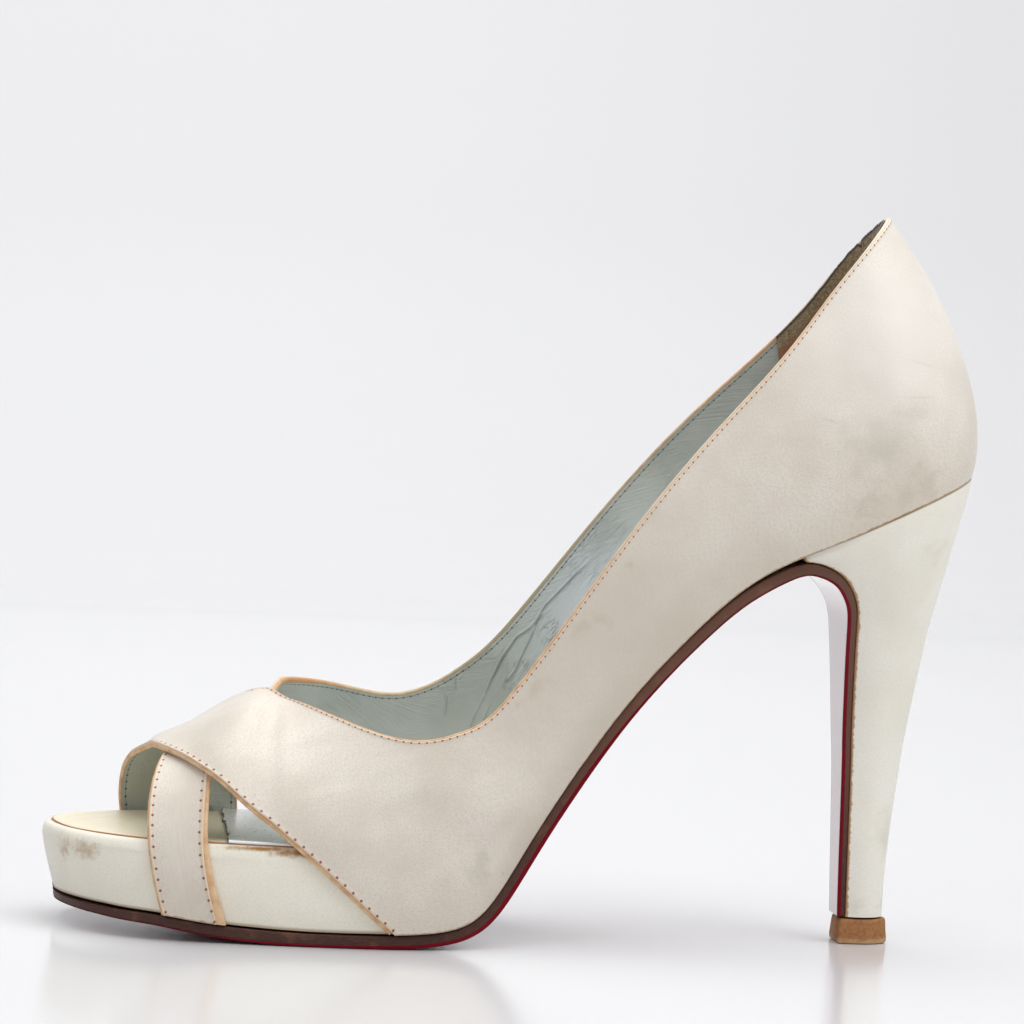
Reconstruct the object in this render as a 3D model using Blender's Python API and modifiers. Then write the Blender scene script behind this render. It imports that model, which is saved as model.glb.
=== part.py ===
# Peep toe platform pump with a covered stiletto heel, left shoe, in metres.
# The toe points to -X, the lateral (outer) side is -Y, and the floor is z = 0.

import math

import bmesh
import bpy
import numpy as np
from mathutils import Matrix, kdtree

# Overall sizes
SHOE_LENGTH = 0.222
BALL_WIDTH = 0.079
SEAT_HEIGHT = 0.1110
COLLAR_RISE = 0.0614

# Sole and platform
SOLE_THICKNESS = 0.0030
SOLE_INSET = 0.0010
SOLE_TOE_INSET = 0.0016
SOLE_EDGE_ROUND = 0.0006
SOLE_TOE_SHARE = 0.50
SOLE_TAPER_ROWS = 6
SOLE_ROWS = 16
PLATFORM_HEIGHT = 0.0185
PLATFORM_TOP_ROUND = 0.0022
PLATFORM_END = 13.5
INSOLE_THICKNESS = 0.0016
INSOLE_SIDE_GAP = 0.0006
INSOLE_TOE_INSET = 0.0026
INSOLE_EDGE_ROUND = 0.0005
INSOLE_END = 20.6

# Upper
WALL = 0.0013
FIT_GAP = 0.0003
LAYER_GAP = 0.00045
BOND_DEPTH = 0.0005
DRAPE_START = 0.0025
DRAPE_LENGTH = 0.0080
THROAT_ROW = 6.08
THROAT_FADE = 0.42

# Top piece of the heel
TOP_PIECE_HEIGHT = 0.0060
TOP_PIECE_FLARE = 0.0006
TOP_PIECE_OVERHANG = 0.0003
TOP_PIECE_ROUND = 0.0006
HEEL_WIDEST = 0.38

# Mesh density
STRAP_STEPS = 29
QUARTER_STEPS = 56
ACROSS_STEPS = 13
BOND_STEPS = 14
INTERIOR_STEPS = 3
PLATFORM_SIDE_STEPS = 5
HEEL_SIDE_STEPS = 4
HEEL_BACK_STEPS = 8
TOE_STEPS = 6
ROW_STEP = 0.5
TOE_END = 2
CURVE_STEPS = 400
WALL_STEPS = 80
SMALL_STEP = 0.001
BREAST_STEP = 0.05
WELD_DISTANCE = 0.000001
EDGE_ANGLE = 35

# The last, one row per section from toe to heel.
# along, top_along: shares of SHOE_LENGTH. lift: share of SEAT_HEIGHT above the sole's top.
# lateral, medial: feather line, shares of BALL_WIDTH from the centre line.
# rise, rise_m: height of the ridge or topline above the feather line, shares of COLLAR_RISE.
# top, top_m: distance of ridge or topline from the centre line, shares of BALL_WIDTH.
# flare, lean, lean_m: wall angles in degrees at the feather line and at the top.
# foot, head: lengths of the wall's lower and upper curve handles, shares of the wall's chord.
LAST_COLUMNS = ("along", "lift", "lateral", "medial", "top_along", "rise", "rise_m",
                "top", "top_m", "flare", "lean", "lean_m", "foot", "head")
LAST_ROWS = (
    (0.0077, 0.0330, -0.055, 0.055, 0.036, 0.440, 0.440, -0.055, 0.055, 15, 88, 88, 0.55, 0.35),
    (0.0290, 0.0330, 0.190, 0.272, 0.046, 0.450, 0.450, -0.050, 0.050, 14, 88, 88, 0.52, 0.36),
    (0.0600, 0.0310, 0.317, 0.367, 0.062, 0.470, 0.470, -0.040, 0.040, 12, 88, 88, 0.50, 0.40),
    (0.0870, 0.0280, 0.380, 0.418, 0.087, 0.525, 0.525, -0.030, 0.030, 10, 88, 88, 0.50, 0.44),
    (0.1230, 0.0240, 0.432, 0.454, 0.123, 0.600, 0.600, -0.020, 0.020, 9, 88, 88, 0.48, 0.45),
    (0.1680, 0.0120, 0.456, 0.468, 0.168, 0.702, 0.702, -0.015, 0.015, 8, 88, 88, 0.47, 0.45),
    (0.2260, 0.0035, 0.481, 0.481, 0.226, 0.832, 0.877, -0.010, 0.010, 8, 86, 86, 0.45, 0.42),
    (0.2800, 0.0000, 0.497, 0.490, 0.279, 0.831, 0.904, 0.200, 0.175, 7, 58, 54, 0.43, 0.38),
    (0.3300, 0.0000, 0.506, 0.491, 0.333, 0.768, 0.862, 0.350, 0.325, 7, 34, 32, 0.42, 0.36),
    (0.3840, 0.0025, 0.501, 0.481, 0.384, 0.733, 0.827, 0.411, 0.392, 7, 23, 21, 0.40, 0.34),
    (0.4380, 0.0200, 0.475, 0.456, 0.427, 0.735, 0.836, 0.420, 0.411, 9, 18, 16, 0.38, 0.34),
    (0.4740, 0.0800, 0.430, 0.405, 0.457, 0.684, 0.795, 0.415, 0.410, 14, 14, 13, 0.36, 0.34),
    (0.5100, 0.1930, 0.380, 0.348, 0.484, 0.590, 0.672, 0.411, 0.405, 20, 10, 10, 0.35, 0.34),
    (0.5550, 0.3320, 0.335, 0.291, 0.515, 0.492, 0.549, 0.405, 0.399, 25, 8, 8, 0.35, 0.34),
    (0.6090, 0.4830, 0.304, 0.253, 0.560, 0.456, 0.492, 0.395, 0.389, 26, 6, 6, 0.35, 0.34),
    (0.6720, 0.6280, 0.291, 0.247, 0.623, 0.516, 0.532, 0.373, 0.367, 24, 6, 6, 0.34, 0.34),
    (0.7450, 0.7620, 0.297, 0.272, 0.695, 0.593, 0.598, 0.333, 0.329, 20, 8, 8, 0.32, 0.34),
    (0.8170, 0.8370, 0.316, 0.304, 0.763, 0.736, 0.716, 0.285, 0.282, 17, 12, 12, 0.28, 0.36),
    (0.8710, 0.8880, 0.323, 0.323, 0.812, 0.880, 0.826, 0.234, 0.232, 16, 18, 18, 0.25, 0.38),
    (0.9320, 0.9450, 0.280, 0.280, 0.850, 0.952, 0.914, 0.198, 0.198, 16, 26, 26, 0.22, 0.41),
    (0.9770, 0.9850, 0.162, 0.162, 0.878, 0.995, 0.972, 0.116, 0.116, 17, 35, 35, 0.20, 0.48),
    (0.9935, 1.0000, 0.000, 0.000, 0.889, 1.000, 1.000, 0.000, 0.000, 17, 39, 39, 0.195, 0.50),
)

# Straps, as shares along the last's rows (toe 0, heel 21) and around it
# (-1 lateral feather line, 0 ridge or topline, 1 medial feather line).
# The lateral panel lies on top and ends as the medial strap.
# The medial panel passes under it and ends as the lateral strap.
STRAP_COLUMNS = ("front_along", "front_around", "rear_along", "rear_around")
LATERAL_PANEL_ROWS = (
    (8.58, -1.00, 9.40, 0.00), (7.70, -0.85, 8.60, 0.00), (6.88, -0.74, 7.80, 0.00), (6.01, -0.65, 7.00, 0.00),
    (5.26, -0.48, 6.07, 0.00), (4.60, -0.27, 5.96, 0.10), (4.00, -0.04, 5.96, 0.28), (3.70, 0.22, 5.97, 0.46),
    (3.64, 0.48, 5.97, 0.64), (3.60, 0.72, 5.99, 0.82), (3.64, 1.00, 6.05, 1.00),
)
MEDIAL_PANEL_ROWS = (
    (8.58, 1.00, 9.40, 0.00), (7.65, 0.86, 8.60, 0.00), (6.80, 0.75, 7.80, 0.00), (5.98, 0.66, 7.00, 0.00),
    (5.30, 0.50, 6.07, 0.00), (4.72, 0.27, 5.82, -0.10), (4.38, -0.02, 5.60, -0.26), (4.22, -0.27, 5.32, -0.42),
    (4.12, -0.50, 5.22, -0.60), (4.03, -0.76, 5.19, -0.80), (3.96, -1.00, 5.38, -1.00),
)
# The cemented patch where the two cross.
BOND_ROWS = (
    (4.66, -0.17, 5.18, -0.35), (4.84, 0.05, 5.56, -0.10), (5.08, 0.22, 5.72, 0.16), (5.50, 0.42, 5.78, 0.46),
)

# Footbed under the insole. along is a share of SHOE_LENGTH, level of PLATFORM_HEIGHT and
# climb of SEAT_HEIGHT; level and climb are added above the sole's top.
FOOTBED_COLUMNS = ("along", "level", "climb")
FOOTBED_ROWS = (
    (0.000, 1.02, 0.0000), (0.087, 1.00, 0.0000), (0.222, 0.99, 0.0000), (0.312, 0.99, 0.0000),
    (0.366, 1.00, 0.0020), (0.411, 1.00, 0.0170), (0.447, 1.00, 0.0480), (0.479, 1.00, 0.0920),
    (0.510, 0.92, 0.1640), (0.546, 0.68, 0.2860), (0.582, 0.44, 0.4010), (0.627, 0.20, 0.5280),
    (0.681, 0.06, 0.6470), (0.745, 0.01, 0.7640), (0.781, 0.01, 0.8030), (0.817, 0.01, 0.8390),
    (0.871, 0.01, 0.8900), (0.932, 0.01, 0.9470), (0.977, 0.01, 0.9870), (1.000, 0.01, 1.0060),
)

# The sole's turn down the heel breast: along is a share of SHOE_LENGTH, height of SEAT_HEIGHT
# above the sole's thickness, half of BALL_WIDTH.
BREAST_COLUMNS = ("along", "height", "half")
BREAST_ROWS = (
    (0.7748, 0.7900, 0.278), (0.7964, 0.8040, 0.264), (0.8194, 0.8005, 0.246), (0.8423, 0.7784, 0.223),
    (0.8554, 0.7468, 0.201), (0.8626, 0.7120, 0.180), (0.8648, 0.6690, 0.158), (0.8657, 0.6072, 0.135),
    (0.8671, 0.5153, 0.112), (0.8685, 0.4252, 0.095), (0.8700, 0.3477, 0.085), (0.8716, 0.1802, 0.074),
    (0.8725, 0.0811, 0.068), (0.8729, 0.0310, 0.066),
)

# Heel block rings from seat to tip. breast is a row number of the breast's table, back_along
# and back_height place the ring's back, half is a share of BALL_WIDTH.
HEEL_COLUMNS = ("breast", "back_along", "back_height", "half")
HEEL_ROWS = (
    (1.05, 0.9935, 1.0000, 0.3230), (1.30, 0.9905, 0.9600, 0.3080), (2.40, 0.9840, 0.9080, 0.2800),
    (3.50, 0.9745, 0.8330, 0.2440), (4.70, 0.9644, 0.7480, 0.2080), (5.80, 0.9558, 0.6780, 0.1770),
    (7.00, 0.9480, 0.5960, 0.1500), (8.00, 0.9407, 0.5100, 0.1260), (9.00, 0.9338, 0.4240, 0.1060),
    (10.00, 0.9291, 0.3470, 0.0930), (11.00, 0.9209, 0.1800, 0.0800), (13.00, 0.9178, 0.0310, 0.0730),
)


def column(rows, columns, name):
    return np.array([row[columns.index(name)] for row in rows], float)


def spline(values, closed=False):
    """A smooth curve through evenly numbered values, as a function of the row number."""
    values = np.asarray(values, float)
    n = len(values)
    system, right = np.zeros((n, n)), np.zeros_like(values)
    for i in range(n):
        before, after = i - 1, (i + 1) % n
        if closed or 0 < i < n - 1:
            system[i, before], system[i, i], system[i, after] = 1, 4, 1
            right[i] = 6 * (values[before] - 2 * values[i] + values[after])
        else:
            system[i, i] = 1
    bend = np.linalg.solve(system, right)

    def at(row):
        row = np.asarray(row, float)
        if closed:
            row = np.mod(row, n)
        i = np.clip(np.floor(row).astype(int), 0, n - 1 if closed else n - 2)
        j = (i + 1) % n
        f = row - i
        if values.ndim > 1:
            f = f[..., None]
        g = 1 - f
        return g * values[i] + f * values[j] + ((g**3 - g) * bend[i] + (f**3 - f) * bend[j]) / 6

    return at


def x_of(along):
    return (along - 0.5) * SHOE_LENGTH


def last_column(name):
    return column(LAST_ROWS, LAST_COLUMNS, name)


def around_loop(lateral, medial):
    """Rows from toe to heel on the lateral side, then back to the toe on the medial side."""
    return np.concatenate([lateral, medial[-2:0:-1]])


def last_loops():
    """Splines of the feather line, the top line and the wall's angles, all round the last."""
    x = x_of(last_column("along"))
    z = SOLE_THICKNESS + FIT_GAP + last_column("lift") * SEAT_HEIGHT
    x_top = x_of(last_column("top_along"))
    loops = {}
    feather, top = [], []
    for side, y_name, rise_name, top_name in ((-1, "lateral", "rise", "top"), (1, "medial", "rise_m", "top_m")):
        y = side * last_column(y_name) * BALL_WIDTH
        y_top = side * last_column(top_name) * BALL_WIDTH
        z_top = z + last_column(rise_name) * COLLAR_RISE
        feather.append(np.column_stack([x, y, z]))
        top.append(np.column_stack([x_top, y_top, z_top]))
    loops["feather"] = spline(around_loop(*feather), closed=True)
    loops["top"] = spline(around_loop(*top), closed=True)
    for name, medial in (("flare", "flare"), ("lean", "lean_m"), ("foot", "foot"), ("head", "head")):
        loops[name] = spline(around_loop(last_column(name), last_column(medial)), closed=True)
    return loops


LOOPS = last_loops()
LAST_ROW = len(LAST_ROWS) - 1
LOOP_ROWS = 2 * LAST_ROW


def top_line(loop):
    """The topline, which becomes one ridge for both sides ahead of the throat."""
    row = np.minimum(loop, LOOP_ROWS - loop)
    lateral, medial = LOOPS["top"](row), LOOPS["top"](LOOP_ROWS - row)
    ridge = (lateral + medial) / 2
    ridge[..., 2] = lateral[..., 2]
    fade = np.clip((row - THROAT_ROW) / THROAT_FADE, 0, 1)[..., None]
    own = fade * fade * (3 - 2 * fade)
    return own * LOOPS["top"](loop) + (1 - own) * ridge


def on_last(loop, up):
    """Points of the last's outer skin. loop counts rows round it, up runs from feather line 0 to top 1."""
    loop, up = np.broadcast_arrays(np.asarray(loop, float), np.asarray(up, float))
    along = LOOPS["feather"](loop + SMALL_STEP) - LOOPS["feather"](loop - SMALL_STEP)
    out = np.stack([along[..., 1], -along[..., 0], np.zeros_like(along[..., 0])], -1)
    out /= np.linalg.norm(out, axis=-1, keepdims=True)
    foot, head = LOOPS["feather"](loop), top_line(loop)
    chord = head - foot
    length = np.linalg.norm(chord, axis=-1, keepdims=True)
    rise = chord - (chord * out).sum(-1, keepdims=True) * out
    rise /= np.linalg.norm(rise, axis=-1, keepdims=True)
    flare = np.radians(LOOPS["flare"](loop))[..., None]
    lean = np.radians(LOOPS["lean"](loop))[..., None]
    low = foot + LOOPS["foot"](loop)[..., None] * length * (rise * np.cos(flare) + out * np.sin(flare))
    high = head + LOOPS["head"](loop)[..., None] * length * (out * np.sin(lean) - rise * np.cos(lean))
    t = up[..., None]
    s = 1 - t
    return s**3 * foot + 3 * s * s * t * low + 3 * s * t * t * high + t**3 * head


def last_normal(loop, up):
    """Outward unit normals of the last's skin."""
    up = np.clip(up, SMALL_STEP, 1 - SMALL_STEP)
    along = on_last(loop + SMALL_STEP, up) - on_last(loop - SMALL_STEP, up)
    across = on_last(loop, up + SMALL_STEP) - on_last(loop, up - SMALL_STEP)
    normal = np.cross(along, across)
    return normal / np.linalg.norm(normal, axis=-1, keepdims=True)


def strap_point(along, around, side):
    """(loop, up) of a point given along the last's rows and around it; side settles the topline."""
    along, around = np.asarray(along, float), np.asarray(around, float)
    lateral = (around < 0) | ((around == 0) & (side < 0))
    return np.where(lateral, along, LOOP_ROWS - along), 1 - np.abs(around)


def band(rows, side, steps, columns):
    """(along, around) of a strap's grid, with one line of points across for each step."""
    lines = spline(rows)(np.linspace(0, len(rows) - 1, steps))
    front_along, front_around, rear_along, rear_around = (
        column(lines, STRAP_COLUMNS, name)[:, None] for name in STRAP_COLUMNS
    )
    rear_around[rear_along > THROAT_ROW] = 0
    across = np.linspace(0, 1, columns)[None, :]
    along = front_along + (rear_along - front_along) * across
    around = front_around + (rear_around - front_around) * across
    loop, up = strap_point(along, around, side)
    return loop, np.clip(up, 0, 1)


def footbed_height(x):
    """Height of the footbed, the underside of the insole."""
    return FOOTBED(x / SHOE_LENGTH + 0.5)


def footbed_curve():
    along = column(FOOTBED_ROWS, FOOTBED_COLUMNS, "along")
    level = column(FOOTBED_ROWS, FOOTBED_COLUMNS, "level") * PLATFORM_HEIGHT
    z = SOLE_THICKNESS + level + column(FOOTBED_ROWS, FOOTBED_COLUMNS, "climb") * SEAT_HEIGHT
    rows = spline(np.column_stack([along, z]))
    fine = rows(np.linspace(0, len(along) - 1, CURVE_STEPS))
    return lambda share: np.interp(share, fine[:, 0], fine[:, 1])


def raised(height, thickness):
    """The height curve lifted square to itself by a thickness."""
    x = x_of(np.linspace(0, 1, CURVE_STEPS))
    z = height(x)
    slope = np.gradient(z, x)
    size = np.sqrt(1 + slope**2)
    x_up, z_up = x - slope / size * thickness, z + thickness / size
    return lambda at: np.interp(at, x_up, z_up)


def inside_point(loop, inset, height):
    """The point of the last, moved in by an inset, that meets a height curve."""
    up = np.linspace(0, 1, WALL_STEPS)
    skin = on_last(loop, up) - inset * last_normal(loop, up)
    above = skin[:, 2] - height(skin[:, 0])
    first = int(np.argmax(above > 0))
    if first == 0:
        return skin[0]
    share = above[first - 1] / (above[first - 1] - above[first])
    return skin[first - 1] + share * (skin[first] - skin[first - 1])


def new_object(name, mesh_builder, material, collection):
    mesh = bpy.data.meshes.new(name)
    build = bmesh.new()
    mesh_builder(build)
    bmesh.ops.remove_doubles(build, verts=build.verts, dist=WELD_DISTANCE)
    bmesh.ops.dissolve_degenerate(build, edges=build.edges, dist=WELD_DISTANCE)
    bmesh.ops.recalc_face_normals(build, faces=build.faces)
    build.to_mesh(mesh)
    build.free()
    mesh.shade_smooth()
    obj = bpy.data.objects.new(name, mesh)
    collection.objects.link(obj)
    if material is not None:
        mesh.materials.append(material)
    return obj


def loft(build, rings):
    """A closed body through rings of equal length, whose ends are closed in strips across."""
    made = [[build.verts.new(point) for point in ring] for ring in rings]
    count = len(made[0])
    for one, two in zip(made, made[1:]):
        for i in range(count):
            j = (i + 1) % count
            build.faces.new((one[i], one[j], two[j], two[i]))
    for ring in (made[0], made[-1]):
        for i in range(count // 2 - 1):
            build.faces.new((ring[i], ring[i + 1], ring[count - 2 - i], ring[count - 1 - i]))


def sheet(build, points):
    """An open surface through a grid of points."""
    made = [[build.verts.new(point) for point in line] for line in points]
    for one, two in zip(made, made[1:]):
        for i in range(len(one) - 1):
            build.faces.new((one[i], two[i], two[i + 1], one[i + 1]))


def solidify(obj, thickness):
    shell = obj.modifiers.new("wall", "SOLIDIFY")
    shell.thickness = thickness
    shell.offset = -1
    shell.use_even_offset = True
    return shell


def round_edges(obj, width, segments):
    edge = obj.modifiers.new("rounded edges", "BEVEL")
    edge.width = width
    edge.segments = segments
    edge.limit_method = "ANGLE"
    edge.angle_limit = math.radians(EDGE_ANGLE)
    edge.use_clamp_overlap = True


def material(name, colour, roughness):
    surface = bpy.data.materials.new(name)
    surface.use_nodes = True
    shader = surface.node_tree.nodes["Principled BSDF"]
    shader.inputs["Base Color"].default_value = (*colour, 1)
    shader.inputs["Roughness"].default_value = roughness
    return surface


def toe_rows(end):
    """Row numbers for sections, closer together round the toe."""
    at_toe = np.linspace(0, TOE_END, TOE_STEPS, endpoint=False)
    return np.concatenate([at_toe, np.arange(TOE_END, end, ROW_STEP), [end]])


def strip_grid():
    """Loop and up of the upper's strip: medial strap, lateral panel, heel, medial panel, lateral strap."""
    lateral = band(LATERAL_PANEL_ROWS, -1, STRAP_STEPS, ACROSS_STEPS)
    medial = band(MEDIAL_PANEL_ROWS, 1, STRAP_STEPS, ACROSS_STEPS)
    low, high = LATERAL_PANEL_ROWS[0][0], LATERAL_PANEL_ROWS[0][2]
    t = np.linspace(0, 1, QUARTER_STEPS)[1:-1, None]
    up = np.linspace(0, 1, ACROSS_STEPS)[None, :]
    bottom = low + t * (LOOP_ROWS - 2 * low)
    top = high + t * (LOOP_ROWS - 2 * high)
    quarter = bottom + (top - bottom) * up, up + 0 * t
    loop = np.concatenate([lateral[0][::-1], quarter[0], medial[0]])
    up = np.concatenate([lateral[1][::-1], quarter[1], medial[1]])
    return loop, up


def overlap_step(points):
    """How far the lateral panel stands off the last, to pass over the medial panel."""
    under = on_last(*band(MEDIAL_PANEL_ROWS, 1, 4 * STRAP_STEPS, 4 * ACROSS_STEPS)).reshape(-1, 3)
    tree = kdtree.KDTree(len(under))
    for i, point in enumerate(under):
        tree.insert(point, i)
    tree.balance()
    step = np.zeros(points.shape[:2])
    for i in range(STRAP_STEPS):
        for j in range(points.shape[1]):
            away = tree.find(points[i, j])[2] - DRAPE_START
            away = min(max(away / DRAPE_LENGTH, 0), 1)
            step[i, j] = (WALL + LAYER_GAP) * (1 - away * away * (3 - 2 * away))
    return step


def make_upper(collection, cutters, surface):
    loop, up = strip_grid()
    points = on_last(loop, up)
    step = overlap_step(points)
    points = points + step[..., None] * last_normal(loop, up)
    upper = new_object("upper", lambda build: sheet(build, points), surface, collection)
    solidify(upper, WALL)

    loop, up = band(BOND_ROWS, -1, BOND_STEPS, BOND_STEPS)
    lift = LAYER_GAP + BOND_DEPTH
    patch = on_last(loop, up) + lift * last_normal(loop, up)
    bond = new_object("strap_cement", lambda build: sheet(build, patch), surface, cutters)
    bond.hide_render = True
    bond.display_type = "WIRE"
    solidify(bond, LAYER_GAP + 2 * BOND_DEPTH)
    join = upper.modifiers.new("straps joined", "BOOLEAN")
    join.operation = "UNION"
    join.solver = "EXACT"
    join.object = bond
    return upper


def cross_ring(left, right):
    """A ring across the shoe: up the left column, over the top, down the right, back underneath."""
    share = np.linspace(0, 1, INTERIOR_STEPS + 2)[1:-1, None]
    over = left[-1] + (right[-1] - left[-1]) * share
    beneath = right[0] + (left[0] - right[0]) * share
    return np.concatenate([left, over, right[::-1], beneath])


def shifted_ring(ring):
    """The ring started half way along its underside, so its ends close in strips across."""
    return np.roll(ring, (INTERIOR_STEPS + 1) // 2, axis=0)


def sole_path():
    """Sections of the sole's top face from toe to heel tip: x, z, lateral and medial edge."""
    rows = toe_rows(SOLE_ROWS)
    lateral, medial = LOOPS["feather"](rows), LOOPS["feather"](LOOP_ROWS - rows)
    places = np.linspace(0, len(BREAST_ROWS) - 1, 2 * len(BREAST_ROWS) - 1)
    along, height, half = (column(spline(BREAST_ROWS)(places), BREAST_COLUMNS, name) for name in BREAST_COLUMNS)
    past_toe = np.minimum(rows / TOE_END, 1)
    x = np.concatenate([lateral[:, 0] + SOLE_TOE_INSET * (1 - past_toe), x_of(along)])
    z = np.concatenate([lateral[:, 2] - FIT_GAP, SOLE_THICKNESS + height * SEAT_HEIGHT])
    inset = SOLE_INSET * past_toe
    half = half * BALL_WIDTH
    left = np.concatenate([lateral[:, 1] + inset, -half])
    right = np.concatenate([medial[:, 1] - inset, half])
    return x, np.maximum(z, SOLE_THICKNESS), left, right


def make_outsole(collection, surface):
    x, z, left, right = sole_path()
    path = np.column_stack([x, z])
    run = np.gradient(path, axis=0)
    run /= np.linalg.norm(run, axis=1, keepdims=True)
    flat = z <= SOLE_THICKNESS
    run[flat] = (1, 0)
    # The edge thins towards the toe.
    taper = np.ones(len(x))
    rows = toe_rows(SOLE_ROWS)
    taper[: len(rows)] = SOLE_TOE_SHARE + (1 - SOLE_TOE_SHARE) * np.minimum(rows / SOLE_TAPER_ROWS, 1)
    below = path - (SOLE_THICKNESS * taper)[:, None] * np.column_stack([-run[:, 1], run[:, 0]])
    below[:, 1] = np.maximum(below[:, 1], 0)

    def build_sole(build):
        rings = []
        for i in range(len(x)):
            sides = [np.array([[below[i, 0], y, below[i, 1]], [x[i], y, z[i]]]) for y in (left[i], right[i])]
            rings.append(shifted_ring(cross_ring(*sides)))
        loft(build, rings)

    sole = new_object("outsole", build_sole, surface, collection)
    round_edges(sole, SOLE_EDGE_ROUND, 2)
    return sole


def make_platform(collection, surface):
    inset = WALL + FIT_GAP
    rings = []
    for row in toe_rows(PLATFORM_END):
        sides = []
        for loop in (row, LOOP_ROWS - row):
            crown = inside_point(loop, inset, footbed_height)
            floor = inside_point(loop, inset, lambda x: 0.0)
            heights = np.linspace(0, 1, PLATFORM_SIDE_STEPS)[1:-1]
            middle = [inside_point(loop, inset, lambda x, h=h: floor[2] + h * (crown[2] - floor[2])) for h in heights]
            sides.append(np.array([floor, *middle, crown]))
        rings.append(shifted_ring(cross_ring(*sides)))

    platform = new_object("platform", lambda build: loft(build, rings), surface, collection)
    round_edges(platform, PLATFORM_TOP_ROUND, 3)
    return platform


def make_insole(collection, surface):
    bottom = lambda x: footbed_height(x) + FIT_GAP
    top = raised(bottom, INSOLE_THICKNESS)
    rings = []
    for row in toe_rows(INSOLE_END):
        share = min(max((row - PLATFORM_END / 2) / (PLATFORM_END / 2), 0), 1)
        inset = WALL + FIT_GAP + INSOLE_TOE_INSET + share * (INSOLE_SIDE_GAP - INSOLE_TOE_INSET)
        sides = []
        for loop in (row, LOOP_ROWS - row):
            sides.append(np.array([inside_point(loop, inset, bottom), inside_point(loop, inset, top)]))
        rings.append(shifted_ring(cross_ring(*sides)))
    insole = new_object("insole", lambda build: loft(build, rings), surface, collection)
    round_edges(insole, INSOLE_EDGE_ROUND, 1)
    return insole


def heel_ring(front, back, front_half, half):
    """One ring of the heel: a straight breast, fuller sides and an elliptical back."""
    turn = HEEL_WIDEST
    share = np.concatenate([
        np.linspace(0, turn, HEEL_SIDE_STEPS)[:-1],
        turn + (1 - turn) * np.sin(np.linspace(0, math.pi / 2, HEEL_BACK_STEPS)),
    ])
    side = np.where(
        share < turn,
        front_half + (half - front_half) * np.sin(math.pi / 2 * np.minimum(share / turn, 1)),
        half * np.sqrt(np.maximum(1 - ((share - turn) / (1 - turn)) ** 2, 0)),
    )
    x = front[0] + (back[0] - front[0]) * share
    z = front[1] + (back[1] - front[1]) * share
    lateral = np.column_stack([x, -side, z])
    medial = np.column_stack([x, side, z])
    return np.concatenate([lateral, medial[::-1]])


def seat_height(x):
    """Height of the upper's feather line over the heel seat."""
    rows = LOOPS["feather"](np.linspace(0, LAST_ROW, CURVE_STEPS))
    return np.interp(x, rows[:, 0], rows[:, 2]) - FIT_GAP


def make_heel(collection, surface):
    breast = spline(BREAST_ROWS)
    rows = spline(HEEL_ROWS)(np.linspace(0, len(HEEL_ROWS) - 1, 2 * len(HEEL_ROWS) - 1))
    rings = []
    for i, row in enumerate(rows):
        place, back_along, back_height, half = (row[HEEL_COLUMNS.index(name)] for name in HEEL_COLUMNS)
        here, ahead = breast(place), breast(place + BREAST_STEP)
        run = (ahead - here)[:2] * (SHOE_LENGTH, SEAT_HEIGHT)
        run /= np.linalg.norm(run)
        front = np.array([x_of(here[0]), SOLE_THICKNESS + here[1] * SEAT_HEIGHT])
        front = front + FIT_GAP * np.array([-run[1], run[0]])
        back = np.array([x_of(back_along), SOLE_THICKNESS + back_height * SEAT_HEIGHT])
        ring = heel_ring(front, back, here[2] * BALL_WIDTH, half * BALL_WIDTH)
        if i == 0:
            ring[:, 2] = seat_height(ring[:, 0])
        rings.append(ring)
    return new_object("heel", lambda build: loft(build, rings), surface, collection)


def make_top_piece(collection, surface):
    tip, breast = HEEL_ROWS[-1], BREAST_ROWS[-1]
    front = x_of(breast[0]) - SOLE_THICKNESS + TOP_PIECE_FLARE
    back = x_of(tip[1]) + TOP_PIECE_OVERHANG
    half = tip[3] * BALL_WIDTH
    low = TOP_PIECE_FLARE
    rings = []
    for height, out in ((0.0, low), (TOP_PIECE_HEIGHT, 0.0)):
        ends = np.array([front - out, height]), np.array([back + out, height])
        rings.append(heel_ring(*ends, breast[2] * BALL_WIDTH + out, half + out))
    piece = new_object("top_piece", lambda build: loft(build, rings), surface, collection)
    round_edges(piece, TOP_PIECE_ROUND, 2)
    return piece


def stand_on_origin(collection, cutters):
    """Put the middle of the part's box, at floor level, on the origin."""
    bpy.context.view_layer.update()
    graph = bpy.context.evaluated_depsgraph_get()
    corners = []
    for obj in collection.objects:
        corners += [tuple(corner) for corner in obj.evaluated_get(graph).bound_box]
    corners = np.array(corners)
    middle = (corners.min(axis=0) + corners.max(axis=0)) / 2
    move = Matrix.Translation((-middle[0], -middle[1], -corners[:, 2].min()))
    for obj in list(collection.objects) + list(cutters.objects):
        obj.data.transform(move)


for old in list(bpy.data.objects):
    bpy.data.objects.remove(old, do_unlink=True)

FOOTBED = footbed_curve()
shoe = bpy.data.collections.new("peep_toe_pump")
cutting = bpy.data.collections.new("joining_shapes")
bpy.context.scene.collection.children.link(shoe)
bpy.context.scene.collection.children.link(cutting)

make_outsole(shoe, material("sole_leather", (0.13, 0.055, 0.035), 0.5))
make_platform(shoe, material("platform_satin", (0.78, 0.74, 0.64), 0.55))
make_insole(shoe, material("insole_leather", (0.72, 0.69, 0.58), 0.5))
make_heel(shoe, material("heel_satin", (0.79, 0.76, 0.66), 0.55))
make_top_piece(shoe, material("top_piece_rubber", (0.33, 0.18, 0.09), 0.6))
make_upper(shoe, cutting, material("upper_satin", (0.80, 0.73, 0.67), 0.5))
stand_on_origin(shoe, cutting)
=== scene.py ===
import math

import bmesh
import bpy
import numpy as np
from mathutils import Matrix, Vector, kdtree, noise


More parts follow.
